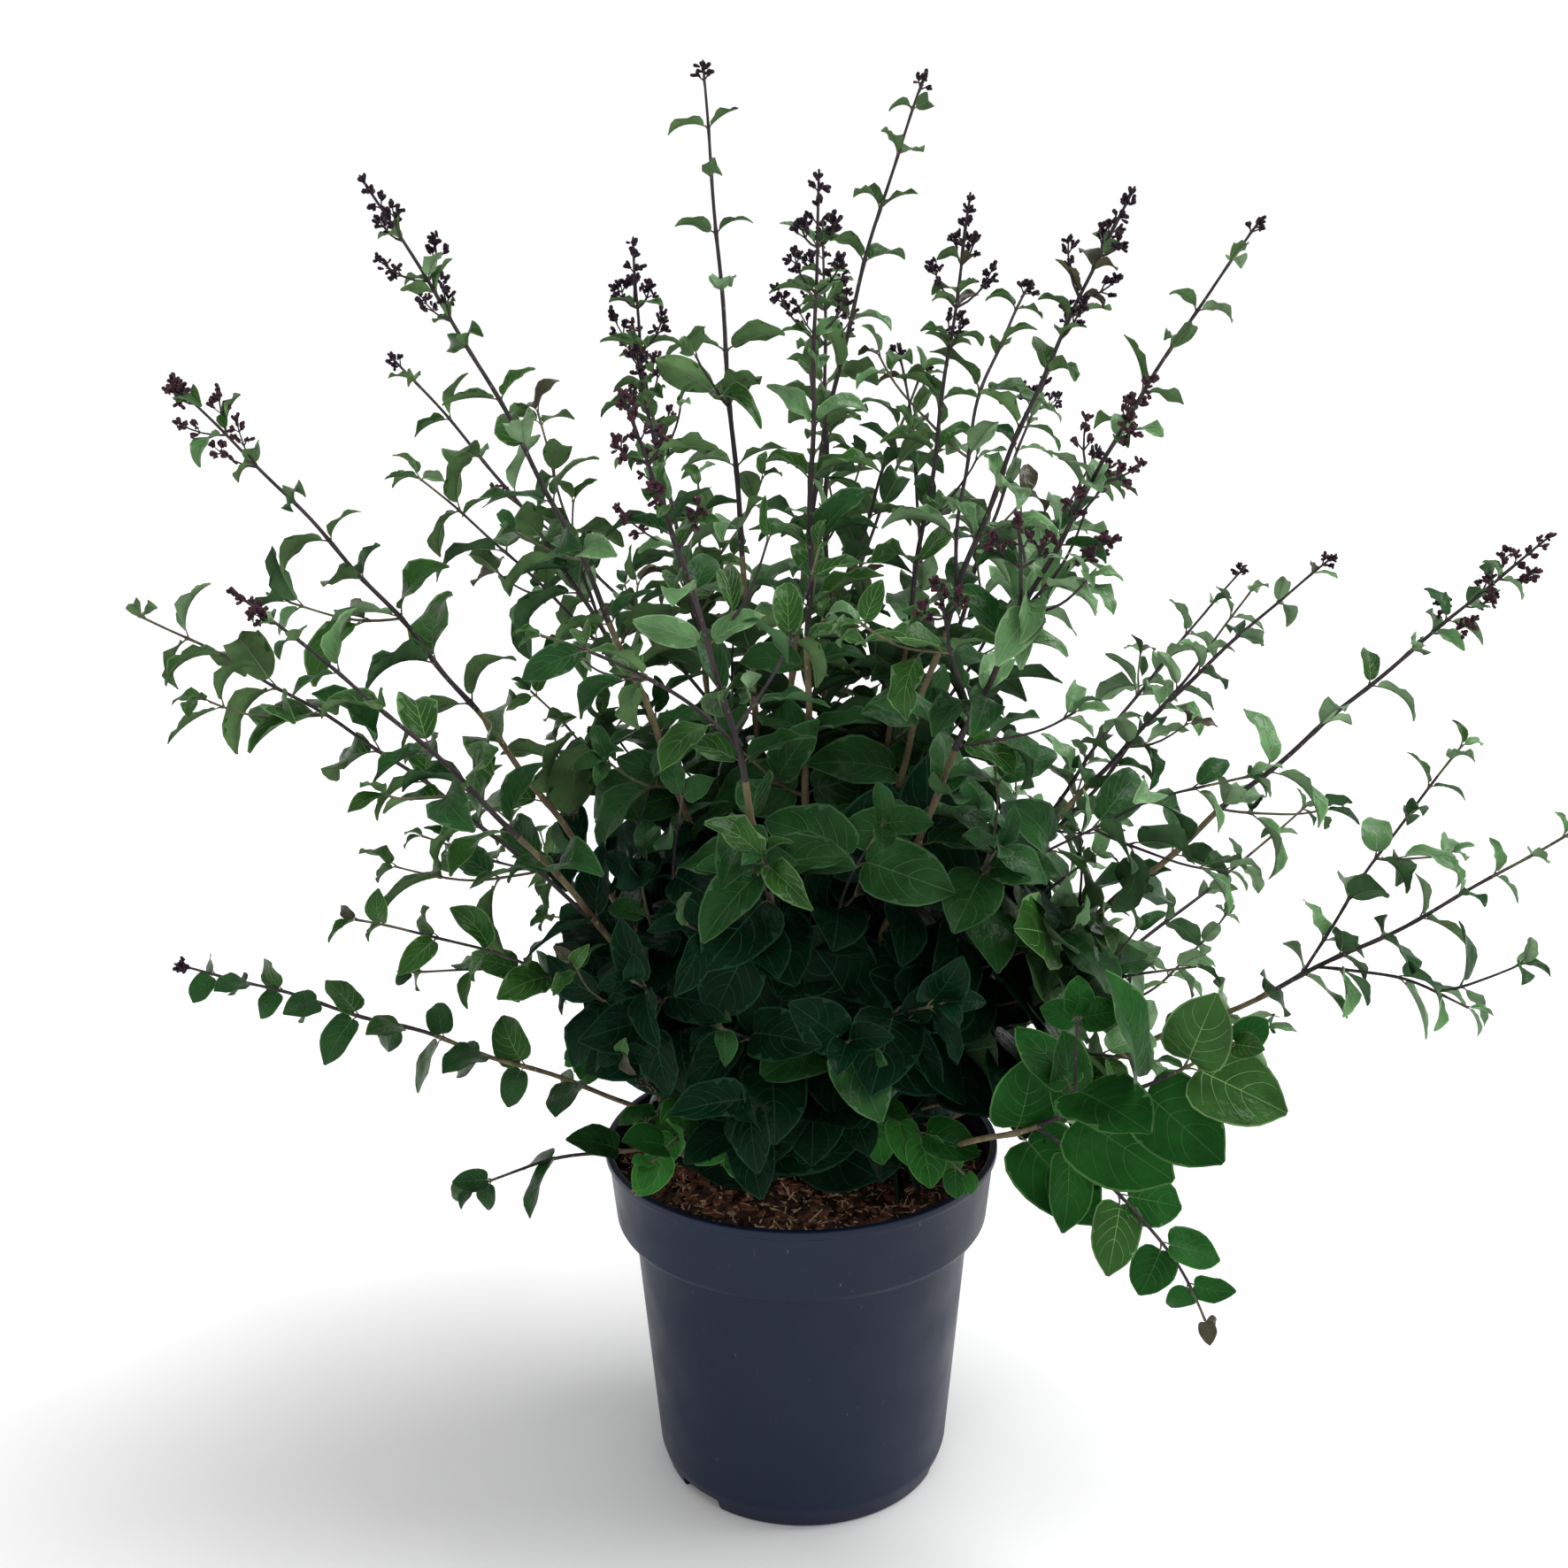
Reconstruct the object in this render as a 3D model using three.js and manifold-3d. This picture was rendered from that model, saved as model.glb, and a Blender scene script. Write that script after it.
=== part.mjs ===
// A lilac bush in a round nursery pot, in millimetres, +Z up.
// Origin: the centre of the pot's flat underside. -Y is the side with the open view of the soil.
//
// Every woody piece is a curve from the root crown. A cane is the bare lower length of a curve, and
// the mass of leaves above it goes on along the same curve: stem, shoots, side twigs, leaves and
// flower buds fused into one solid that keeps to its own space.
import * as THREE from 'three';
import { mergeVertices } from 'three/addons/utils/BufferGeometryUtils.js';
import Module from 'manifold-3d';

const wasm = await Module();
wasm.setup();

// ---------------------------------------------------------------- sizes
const GAP = 0.3;                 // clearance between neighbouring solids
const MERGE_DISTANCE = 1e-4;
const POT_HEIGHT = 250;
const POT_FOOT_R = 101.5;        // at the ground
const POT_FOOT_STEP = 15;        // height of the slightly steeper foot
const POT_STEP_R = 105.5;        // at the top of that foot
const POT_WAIST_R = 120.5;       // where the wall runs in under the rim band
const BAND_FOOT_R = 133;         // lower edge of the rim band
const BAND_FOOT_Z = 196;
const BAND_TOP_R = 137.5;
const LIP_R = 140;
const LIP_HEIGHT = 5;
const POT_WALL = 2.6;
const POT_FLOOR = 3.6;           // top of the pot's floor
const POT_SEGMENTS = 32;
const DRAIN_BEARINGS = [223, 343, 103];
const DRAIN_WIDTH = 38;
const DRAIN_HEIGHT = 9.5;
const DRAIN_DEPTH = 12;

const SOIL_Z = 230;
const SOIL_RINGS = [60, 78, 96, 112];
const SOIL_ROUGH = 4;            // height of the coarse bark on the soil
const SOIL_SEGMENTS = 16;
const SOIL_CLEAR = 1.2;          // between the soil and the pot's faceted wall

const CROWN_R = 54;              // the woody root crown that all stems rise from
const CROWN_HEIGHT = 34;
const CROWN_SEGMENTS = 12;
const FOOT_RINGS = [12, 23, 34, 45];
const FOOT_SPACING = 13.5;       // least distance between two stems on one ring
const STUB_LENGTH = 9;
const STUB_SINK = 9;
const STUB_FOOT_SHARE = 1.35;    // of the stem's own radius
const STUB_TOP_SHARE = 1.05;
const SHOOT_R_SHARE = 0.72;      // of the stem's radius where the shoot leaves it

const CANE_SIDES = 6;
const STUB_SIDES = 4;
const STEM_SIDES = 3;
const STEM_STEP = 72;            // length of one straight run of a stem
const TWIG_TIP_R = 1.25;
const PAIR_GAP_LOW = 78;         // between two pairs of leaves, low down and high up
const PAIR_GAP_HIGH = 120;
const LEAF_BIG = 88;             // at the foot of the bush
const LEAF_SMALL = 54;           // at the tips
const LEAF_WIDTH = 0.6;          // of the length
const LEAF_THICK = 0.045;
const BLADE_FOLD = 1.2;          // rise of the blade's sides, in thicknesses
const LEAF_WIDEST = 0.42;        // of the length, from the stalk
const LOW_LEAVES_TOP = 620;      // below this height leaves grow larger and hang
const LOW_LEAVES_FADE = 350;
// How a leaf that doesn't fit is turned and made smaller, one try after the other.
const TRIES = [[0, 1], [0.5, 0.95], [-0.5, 0.95], [1, 0.85], [-1, 0.85], [1.5, 0.7], [-1.5, 0.7]];
const TWIG_SPACING = 400;        // between two side twigs
const TWIG_LONG = 105;
const TWIG_SHORT = 50;
const BUD_LENGTHS = [0, 20, 28, 38]; // of the spike at the tip, by bloom
const BUD_WIDTH = 0.36;          // of the length
const BUD_THICK = 0.34;
const BUD_WIDEST = 0.45;
const CLEARANCE = 1;             // least space between a leaf and a neighbouring mass
const SPACE_SLACK = 14;
const ROUTE_SPOTS = 24;

// ---------------------------------------------------------------- stems
// ring: which ring of the root crown the stem stands on
// bearing, reach, height: where its tip is (degrees from +X, mm from the axis, mm above the ground)
// bow, sway: how far its middle lies above and beside the straight line from foot to tip
// bare: share of the length that is bare cane, 0 where leaves begin at the root crown
// r: radius at the foot; bloom: size of the flower bud panicle at the tip, from 0 to 3
const STEM_COLUMNS = ['name', 'ring', 'bearing', 'reach', 'height', 'bow', 'sway', 'bare', 'r', 'bloom'];
const STEMS = [
  ['left_high', 1, 193, 265, 905, 35, -10, 0.38, 4.4, 3],
  ['left_mid', 2, 183, 395, 785, 25, 10, 0.36, 4.2, 2],
  ['left_front', 2, 201, 360, 670, 25, -15, 0.32, 4.2, 2],
  ['left_back', 1, 157, 310, 795, 50, 15, 0.4, 4, 1],
  ['front_left', 1, 248, 250, 790, 0, -25, 0.42, 4.6, 3],
  ['middle_left', 0, 133, 85, 980, 5, -5, 0.28, 4.4, 1],
  ['middle_front', 0, 280, 80, 905, 10, 0, 0.38, 4.6, 3],
  ['middle_tall', 0, 45, 125, 975, 45, -20, 0.25, 4.4, 1],
  ['middle_right', 0, 6, 112, 895, -8, -8, 0.28, 4.4, 3],
  ['right_high', 1, 346, 210, 895, 30, 5, 0.4, 4.6, 3],
  ['right_back_high', 1, 11, 315, 880, 35, -5, 0.36, 4.2, 1],
  ['front_right', 1, 309, 295, 795, 20, 5, 0.42, 4.8, 3],
  ['right_back', 2, 15, 400, 650, 25, -10, 0.26, 4.2, 1],
  ['right_mid', 2, 358, 490, 680, 5, 5, 0.35, 4.4, 3],
  ['right_low', 3, 359, 540, 485, -20, 0, 0.35, 4, 0],
  ['front_droop', 3, 318, 335, 415, -10, 15, 0.3, 3.8, 0],
  ['back_right', 2, 52, 320, 770, 30, 5, 0.36, 4.2, 2],
  ['back_high', 1, 84, 215, 885, 25, 10, 0.38, 4.4, 3],
  ['back_left', 1, 117, 270, 815, 30, -10, 0.38, 4.4, 3],
  ['low_left', 3, 185, 425, 400, 5, 5, 0, 2.8, 1],
  ['rim_left', 3, 198, 235, 250, 12, 5, 0, 2.2, 0],
  ['low_back_right', 3, 28, 465, 430, -10, 5, 0, 3, 0],
  ['low_back', 3, 76, 430, 480, -10, 0, 0, 3, 1],
  ['low_back_left', 3, 128, 420, 400, 10, 5, 0, 3, 0],
  ['inner_left', 2, 218, 130, 470, -15, 0, 0, 3.4, 0],
  ['inner_back_left', 2, 138, 95, 500, -15, 0, 0, 3.4, 0],
  ['inner_right', 2, 335, 140, 490, -15, 0, 0, 3.4, 0],
  ['inner_front', 2, 273, 105, 450, -10, 0, 0, 3.2, 0],
  ['inner_back', 2, 95, 120, 480, -10, 0, 0, 3.4, 0],
  ['skirt_front_left', 3, 238, 125, 330, 25, 0, 0, 2.6, 0],
  ['skirt_front', 3, 286, 110, 320, 25, 0, 0, 2.6, 0],
  ['skirt_right', 3, 338, 165, 300, 20, 0, 0, 2.6, 0],
  ['skirt_back_right', 3, 52, 165, 330, 25, 0, 0, 2.6, 0],
  ['skirt_back', 3, 102, 160, 320, 25, 0, 0, 2.6, 0],
  ['skirt_left', 3, 155, 150, 340, 25, 0, 0, 2.6, 0],
].map((row) => named(STEM_COLUMNS, row));

// Shoots that leave a stem at a share of its length, with their own tip, bow and sway.
const SHOOT_COLUMNS = ['of', 'at', 'bearing', 'reach', 'height', 'bow', 'sway', 'bloom'];
const SHOOTS = [
  ['left_front', 0.4, 177, 450, 630, 20, -5, 0],
  ['left_back', 0.55, 150, 320, 705, 5, 0, 0],
  ['left_back', 0.6, 135, 270, 750, -5, 0, 0],
  ['front_left', 0.6, 220, 200, 640, 10, 0, 0],
  ['front_left', 0.62, 278, 90, 685, -5, 5, 0],
  ['middle_left', 0.35, 169, 105, 870, -20, 0, 3],
  ['middle_tall', 0.32, 53, 150, 780, 5, -5, 0],
  ['middle_right', 0.34, 52, 115, 800, -20, 20, 1],
  ['right_high', 0.6, 29, 185, 840, 15, -10, 1],
  ['front_right', 0.7, 312, 265, 705, 10, -5, 2],
  ['front_right', 0.72, 302, 225, 720, -15, -5, 2],
  ['front_right', 0.6, 290, 215, 685, 0, 0, 2],
  ['right_back', 0.32, 32, 415, 625, 5, -5, 1],
  ['right_back', 0.36, 24, 370, 615, -10, -5, 0],
  ['right_low', 0.6, 7, 475, 520, 0, -5, 0],
  ['right_low', 0.62, 352, 450, 370, 5, -5, 0],
  ['front_droop', 0.55, 321, 320, 195, 15, 0, 0],
  ['back_right', 0.5, 40, 300, 720, -5, 0, 1],
  ['back_high', 0.5, 66, 260, 780, -5, 0, 1],
  ['back_left', 0.5, 135, 330, 690, 10, 0, 1],
  ['back_left', 0.55, 104, 320, 690, 5, 0, 0],
  ['low_back_right', 0.3, 30, 400, 345, -20, 10, 0],
  ['low_back', 0.4, 90, 390, 400, 5, 0, 0],
  ['low_back', 0.45, 62, 380, 370, 10, 0, 0],
  ['low_back_left', 0.45, 112, 370, 290, 15, 0, 0],
  ['low_back_left', 0.5, 140, 400, 470, 5, 0, 0],
  ['inner_left', 0.4, 198, 300, 450, 15, 0, 0],
  ['inner_back_left', 0.4, 168, 290, 355, 5, 0, 0],
  ['inner_back_left', 0.6, 143, 250, 545, 5, 5, 0],
  ['inner_back_left', 0.55, 159, 300, 445, 0, 0, 0],
  ['inner_right', 0.8, 338, 300, 545, 15, 0, 0],
  ['inner_right', 0.45, 8, 190, 420, 5, 0, 0],
  ['inner_front', 0.4, 252, 165, 400, 5, 0, 0],
  ['inner_front', 0.5, 300, 170, 410, 5, 0, 0],
  ['inner_left', 0.5, 236, 185, 430, 5, 0, 0],
  ['inner_back', 0.4, 72, 180, 430, 5, 0, 0],
  ['inner_back', 0.5, 116, 190, 420, 5, 0, 0],
].map((row) => named(SHOOT_COLUMNS, row));

function named(columns, row) {
  return Object.fromEntries(columns.map((column, i) => [column, row[i]]));
}

// ---------------------------------------------------------------- small helpers
const UP = new THREE.Vector3(0, 0, 1);
const ANY_SIDE = new THREE.Vector3(0.3, 1, 0.2);
const mix = THREE.MathUtils.lerp;

function randomFrom(seed) {
  let state = seed >>> 0;
  return () => {
    state = (state + 0x6D2B79F5) >>> 0;
    let t = state;
    t = Math.imul(t ^ (t >>> 15), t | 1);
    t ^= t + Math.imul(t ^ (t >>> 7), t | 61);
    return ((t ^ (t >>> 14)) >>> 0) / 4294967296;
  };
}

function polar(bearing, reach, height) {
  const angle = THREE.MathUtils.degToRad(bearing);
  return new THREE.Vector3(reach * Math.cos(angle), reach * Math.sin(angle), height);
}

function bowed(start, tip, bow, sway) {
  const along = tip.clone().sub(start).normalize();
  const above = UP.clone().addScaledVector(along, -along.z).normalize();
  const beside = new THREE.Vector3().crossVectors(along, above);
  const middle = start.clone().add(tip).multiplyScalar(0.5)
    .addScaledVector(above, 2 * bow).addScaledVector(beside, 2 * sway);
  return new THREE.QuadraticBezierCurve3(start, middle, tip);
}

function crownHeight(reach) {
  return SOIL_Z + CROWN_HEIGHT * Math.sqrt(Math.max(0, 1 - (reach / CROWN_R) ** 2));
}

// ---------------------------------------------------------------- solids
function solidOf(geometry) {
  geometry.deleteAttribute('normal');
  geometry.deleteAttribute('uv');
  const merged = mergeVertices(geometry, MERGE_DISTANCE);
  return new wasm.Manifold(new wasm.Mesh({
    numProp: 3,
    vertProperties: new Float32Array(merged.attributes.position.array),
    triVerts: new Uint32Array(merged.index.array),
  }));
}

// The largest closed shell of a solid: sealed hollows are filled and loose scraps are dropped.
function outerShell(solid) {
  const { vertProperties, triVerts } = solid.getMesh();
  const parent = Array.from({ length: vertProperties.length / 3 }, (_, i) => i);
  const root = (i) => {
    while (parent[i] !== i) {
      parent[i] = parent[parent[i]];
      i = parent[i];
    }
    return i;
  };
  for (let i = 0; i < triVerts.length; i += 3) {
    parent[root(triVerts[i])] = root(triVerts[i + 1]);
    parent[root(triVerts[i + 1])] = root(triVerts[i + 2]);
  }
  const shells = new Map();
  for (let i = 0; i < triVerts.length; i += 3) {
    const key = root(triVerts[i]);
    if (!shells.has(key)) shells.set(key, []);
    shells.get(key).push(triVerts[i], triVerts[i + 1], triVerts[i + 2]);
  }
  const largest = [...shells.values()].sort((a, b) => b.length - a.length)[0];
  const geometry = new THREE.BufferGeometry();
  geometry.setAttribute('position', new THREE.BufferAttribute(vertProperties, 3));
  geometry.setIndex(largest);
  return geometry.toNonIndexed();
}

function fuse(geometries) {
  return outerShell(geometries.map(solidOf).reduce((all, next) => all.add(next)));
}

// A tapering limb: a capped prism bent along a curve between two shares of its length.
function limb(curve, from, to, startR, endR, sides, step) {
  const length = curve.getLength() * (to - from);
  const runs = Math.max(1, Math.round(length / step));
  const geometry = new THREE.CylinderGeometry(1, 1, 1, sides, runs);
  const place = geometry.attributes.position;
  const frames = [];
  let across = new THREE.Vector3().crossVectors(curve.getTangentAt(from), ANY_SIDE);
  for (let i = 0; i <= runs; i++) {
    const share = mix(from, to, i / runs);
    const along = curve.getTangentAt(share);
    across = across.clone().addScaledVector(along, -across.dot(along)).normalize();
    frames.push({
      centre: curve.getPointAt(share),
      across,
      beside: new THREE.Vector3().crossVectors(along, across),
      radius: mix(startR, endR, i / runs),
    });
  }
  for (let i = 0; i < place.count; i++) {
    const frame = frames[Math.round((place.getY(i) + 0.5) * runs)];
    const point = frame.centre.clone()
      .addScaledVector(frame.across, place.getZ(i) * frame.radius)
      .addScaledVector(frame.beside, place.getX(i) * frame.radius);
    place.setXYZ(i, point.x, point.y, point.z);
  }
  return geometry;
}

// A leaf blade, folded a little along its midrib, with a keel below: from `base` along `along`.
const BLADE_CORNERS = { base: 0, tip: 1, left: 2, right: 3, keel: 4 };
const BLADE_FACES = [['base', 'right', 'tip'], ['base', 'tip', 'left'], ['base', 'keel', 'right'],
  ['keel', 'tip', 'right'], ['base', 'left', 'keel'], ['left', 'tip', 'keel']];

function blade({ base, along, normal, length, width, thick, widest }) {
  const side = new THREE.Vector3().crossVectors(normal, along).normalize();
  const corner = (share, across, above) => base.clone().addScaledVector(along, share * length)
    .addScaledVector(side, across * width / 2).addScaledVector(normal, above * thick);
  const corners = [corner(0, 0, 0), corner(1, 0, 0), corner(widest, 1, BLADE_FOLD),
    corner(widest, -1, BLADE_FOLD), corner(widest, 0, -1)];
  const geometry = new THREE.BufferGeometry().setFromPoints(corners);
  geometry.setIndex(BLADE_FACES.flat().map((name) => BLADE_CORNERS[name]));
  return geometry;
}

// A spike of flower buds: six corners and eight faces, round its own axis.
function spike({ base, along, normal, length, width, thick, widest }) {
  const side = new THREE.Vector3().crossVectors(normal, along).normalize();
  const geometry = new THREE.OctahedronGeometry(1, 0);
  const place = geometry.attributes.position;
  for (let i = 0; i < place.count; i++) {
    const share = [0, widest, 1][Math.round(place.getX(i)) + 1];
    const point = base.clone().addScaledVector(along, share * length)
      .addScaledVector(side, place.getY(i) * width / 2)
      .addScaledVector(normal, place.getZ(i) * thick / 2);
    place.setXYZ(i, point.x, point.y, point.z);
  }
  return geometry;
}

// ---------------------------------------------------------------- pot and soil
function potProfile() {
  const inside = (reach) => reach - POT_WALL;
  return [
    [0, 0], [POT_FOOT_R - 2, 0], [POT_FOOT_R, 2.5], [POT_STEP_R, POT_FOOT_STEP],
    [POT_WAIST_R, BAND_FOOT_Z - 5], [BAND_FOOT_R - 2.5, BAND_FOOT_Z - 1.5],
    [BAND_FOOT_R, BAND_FOOT_Z + 2], [BAND_TOP_R, POT_HEIGHT - LIP_HEIGHT - 2],
    [LIP_R, POT_HEIGHT - LIP_HEIGHT], [LIP_R, POT_HEIGHT - 1], [LIP_R - 1, POT_HEIGHT],
    [inside(BAND_TOP_R), POT_HEIGHT], [inside(BAND_FOOT_R), BAND_FOOT_Z + 1],
    [inside(POT_WAIST_R), BAND_FOOT_Z - 4], [inside(POT_STEP_R), POT_FOOT_STEP],
    [inside(POT_FOOT_R), POT_FLOOR], [0, POT_FLOOR],
  ].map(([reach, height]) => new THREE.Vector2(reach, height));
}

function turned(profile, segments) {
  return new THREE.LatheGeometry(profile, segments).rotateX(Math.PI / 2);
}

function potSolid() {
  const drains = DRAIN_BEARINGS.map((bearing) => {
    const slot = new THREE.BoxGeometry(2 * DRAIN_DEPTH, DRAIN_WIDTH, 2 * DRAIN_HEIGHT);
    slot.rotateZ(THREE.MathUtils.degToRad(bearing));
    const place = polar(bearing, POT_FOOT_R + 1, 0);
    return slot.translate(place.x, place.y, place.z);
  });
  const shell = solidOf(turned(potProfile(), POT_SEGMENTS));
  return outerShell(drains.map(solidOf).reduce((all, drain) => all.subtract(drain), shell));
}

// The soil fills the pot a little clear of its wall, level under the root crown and rough outside it.
function soilSolid() {
  const clear = POT_WALL + SOIL_CLEAR;
  const wallAt = (height) => mix(BAND_FOOT_R, BAND_TOP_R,
    (height - BAND_FOOT_Z) / (POT_HEIGHT - LIP_HEIGHT - BAND_FOOT_Z)) - clear;
  const profile = [
    [0, POT_FLOOR + GAP], [POT_FOOT_R - clear - 2, POT_FLOOR + GAP],
    [POT_STEP_R - clear - 1, POT_FOOT_STEP + 2], [POT_WAIST_R - clear - 1, BAND_FOOT_Z - 3],
    [wallAt(BAND_FOOT_Z + 4), BAND_FOOT_Z + 4], [wallAt(SOIL_Z - 4), SOIL_Z - 4],
    ...[...SOIL_RINGS].reverse().map((reach) => [reach, SOIL_Z]), [0, SOIL_Z],
  ].map(([reach, height]) => new THREE.Vector2(reach, height));
  const geometry = turned(profile, SOIL_SEGMENTS);
  geometry.deleteAttribute('normal');
  geometry.deleteAttribute('uv');
  const soil = mergeVertices(geometry, 1e-3);
  const random = randomFrom(7);
  const place = soil.attributes.position;
  for (let i = 0; i < place.count; i++) {
    const reach = Math.hypot(place.getX(i), place.getY(i));
    if (place.getZ(i) > SOIL_Z - 1 && reach > CROWN_R + 8) {
      place.setZ(i, SOIL_Z + (random() - 0.4) * SOIL_ROUGH);
    }
  }
  return soil.toNonIndexed();
}

// ---------------------------------------------------------------- stems on the root crown
// Stems on one ring are pushed apart until each has room, in the order of their bearings.
function spreadFeet() {
  FOOT_RINGS.forEach((reach, ring) => {
    const row = STEMS.filter((stem) => stem.ring === ring).sort((a, b) => a.bearing - b.bearing);
    const least = THREE.MathUtils.radToDeg(FOOT_SPACING / reach);
    row.forEach((stem) => { stem.foot = stem.bearing; });
    for (let round = 0; round < 60; round++) {
      row.forEach((stem, i) => {
        const next = row[(i + 1) % row.length];
        const apart = next.foot - stem.foot + (i + 1 === row.length ? 360 : 0);
        if (apart < least) {
          stem.foot -= (least - apart) / 2;
          next.foot += (least - apart) / 2;
        }
      });
    }
  });
}

spreadFeet();
for (const stem of STEMS) {
  const reach = FOOT_RINGS[stem.ring];
  const foot = polar(stem.foot, reach, crownHeight(reach));
  stem.curve = bowed(foot, polar(stem.bearing, stem.reach, stem.height), stem.bow, stem.sway);
  stem.length = stem.curve.getLength();
  stem.stubEnd = STUB_LENGTH / stem.length;
  stem.radiusAt = (share) => mix(stem.r, TWIG_TIP_R, share);
  stem.leafStart = Math.max(stem.bare, stem.stubEnd) + GAP / stem.length;
  stem.shoots = SHOOTS.filter((shoot) => shoot.of === stem.name).map((shoot) => {
    const curve = bowed(stem.curve.getPointAt(shoot.at),
      polar(shoot.bearing, shoot.reach, shoot.height), shoot.bow, shoot.sway);
    return { ...shoot, curve, r: stem.radiusAt(shoot.at) * SHOOT_R_SHARE };
  });
}

function rootCrown() {
  const profile = [[0, SOIL_Z + GAP], [CROWN_R - 2, SOIL_Z + GAP], [CROWN_R, SOIL_Z + 4]];
  for (const share of [0.9, 0.72, 0.45]) profile.push([CROWN_R * share, crownHeight(CROWN_R * share)]);
  profile.push([0, crownHeight(0)]);
  const dome = turned(profile.map(([reach, height]) => new THREE.Vector2(reach, height)), CROWN_SEGMENTS);
  const stubs = STEMS.map((stem) => {
    const start = stem.curve.getPointAt(0);
    const along = stem.curve.getTangentAt(0);
    const end = stem.curve.getPointAt(stem.stubEnd);
    const core = new THREE.LineCurve3(start.clone().addScaledVector(along, -STUB_SINK), end);
    return limb(core, 0, 1, stem.r * STUB_FOOT_SHARE, stem.r * STUB_TOP_SHARE, STUB_SIDES, STEM_STEP);
  });
  return fuse([dome, ...stubs]);
}

function caneSolid(stem) {
  const from = stem.stubEnd + GAP / stem.length;
  const endR = stem.radiusAt(stem.bare);
  return limb(stem.curve, from, stem.bare, stem.radiusAt(0), endR, CANE_SIDES, STEM_STEP);
}

// ---------------------------------------------------------------- the space of each mass
// What stands already. A leaf or twig keeps clear of all of it except its own mass, and its middle
// lies no more than SPACE_SLACK nearer to another mass's stems than to its own.
const standing = [];

function stand(owner, solid) {
  const { min, max } = solid.boundingBox();
  standing.push({ owner, solid, min, max });
}

function touches(owner, geometry) {
  const probe = solidOf(geometry);
  const { min, max } = probe.boundingBox();
  const hit = standing.some((other) => {
    const far = [0, 1, 2].some((axis) => min[axis] > other.max[axis] || max[axis] < other.min[axis]);
    if (far || other.owner === owner) return false;
    const common = probe.intersect(other.solid);
    const meets = !common.isEmpty();
    common.delete();
    return meets;
  });
  probe.delete();
  return hit;
}

function route(owner, curve, from) {
  const shares = Array.from({ length: ROUTE_SPOTS + 1 }, (_, i) => mix(from, 1, i / ROUTE_SPOTS));
  return { owner, spots: shares.map((share) => curve.getPointAt(share)) };
}

const routes = STEMS.flatMap((stem) => [
  route(stem, stem.curve, stem.leafStart),
  ...stem.shoots.map((shoot) => route(stem, shoot.curve, 0)),
]);

function leavesSpace(owner, point) {
  let own = Infinity;
  let other = Infinity;
  for (const { owner: stem, spots } of routes) {
    const nearest = Math.min(...spots.map((spot) => spot.distanceTo(point)));
    if (stem === owner) own = Math.min(own, nearest);
    else other = Math.min(other, nearest);
  }
  return own > other + SPACE_SLACK;
}

// ---------------------------------------------------------------- leaves, side twigs and buds
function bladeFits(stem, leaf, shape = blade) {
  const middle = leaf.base.clone().addScaledVector(leaf.along, leaf.length * 0.6);
  if (leavesSpace(stem, middle)) return false;
  return !touches(stem, shape({
    ...leaf,
    base: leaf.base.clone().addScaledVector(leaf.normal, CLEARANCE * 0.5),
    length: leaf.length + CLEARANCE,
    width: leaf.width + 2 * CLEARANCE,
    thick: leaf.thick + 2 * CLEARANCE,
  }));
}

// Leaves stand in opposite pairs, each pair a quarter turn on from the last. Low leaves are large
// and hang, high ones are small and spread. A leaf that doesn't fit is turned and made smaller
// a few times before it is skipped.
function leafAt(curve, share, tipward, turn, shrink, random) {
  const node = curve.getPointAt(share);
  const along = curve.getTangentAt(share);
  const out = new THREE.Vector3(-along.y, along.x, 0.02).normalize().applyAxisAngle(along, turn);
  const low = THREE.MathUtils.clamp((LOW_LEAVES_TOP - node.z) / LOW_LEAVES_FADE, 0, 1);
  const large = Math.max(low, 0.5 * (1 - tipward));
  const size = mix(LEAF_SMALL, LEAF_BIG, large) * mix(0.85, 1.1, random()) * shrink;
  const open = mix(0.95, 1.3, random());
  const reach = along.clone().multiplyScalar(Math.cos(open)).addScaledVector(out, Math.sin(open));
  reach.z -= mix(0.1, 0.9, low) * mix(0.5, 1, random());
  reach.normalize();
  const outward = new THREE.Vector3(node.x, node.y, 0).normalize();
  const normal = UP.clone().addScaledVector(outward, mix(0.7, 1.3, low))
    .addScaledVector(out, random() - 0.5);
  normal.addScaledVector(reach, -normal.dot(reach)).normalize();
  return {
    base: node.clone().addScaledVector(out, -0.25), along: reach, normal,
    length: size, width: size * LEAF_WIDTH, thick: size * LEAF_THICK, widest: LEAF_WIDEST,
  };
}

function leavesOn(stem, curve, from, to, random) {
  const low = curve.getPointAt(to).z < LOW_LEAVES_TOP - 60;
  const gap = low ? PAIR_GAP_LOW : PAIR_GAP_HIGH;
  const pairs = Math.max(1, Math.round(curve.getLength() * (to - from) / gap));
  const leaves = [];
  let turn = random() * Math.PI;
  for (let i = 0; i < pairs; i++) {
    const tipward = (i + 0.5) / pairs;
    turn += Math.PI / 2 + (random() - 0.5) * 0.5;
    for (const half of [0, Math.PI]) {
      for (const [swing, shrink] of TRIES) {
        const leaf = leafAt(curve, mix(from, to, tipward), tipward, turn + half + swing, shrink, random);
        if (bladeFits(stem, leaf)) {
          leaves.push(leaf);
          break;
        }
      }
    }
  }
  return leaves;
}

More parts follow.
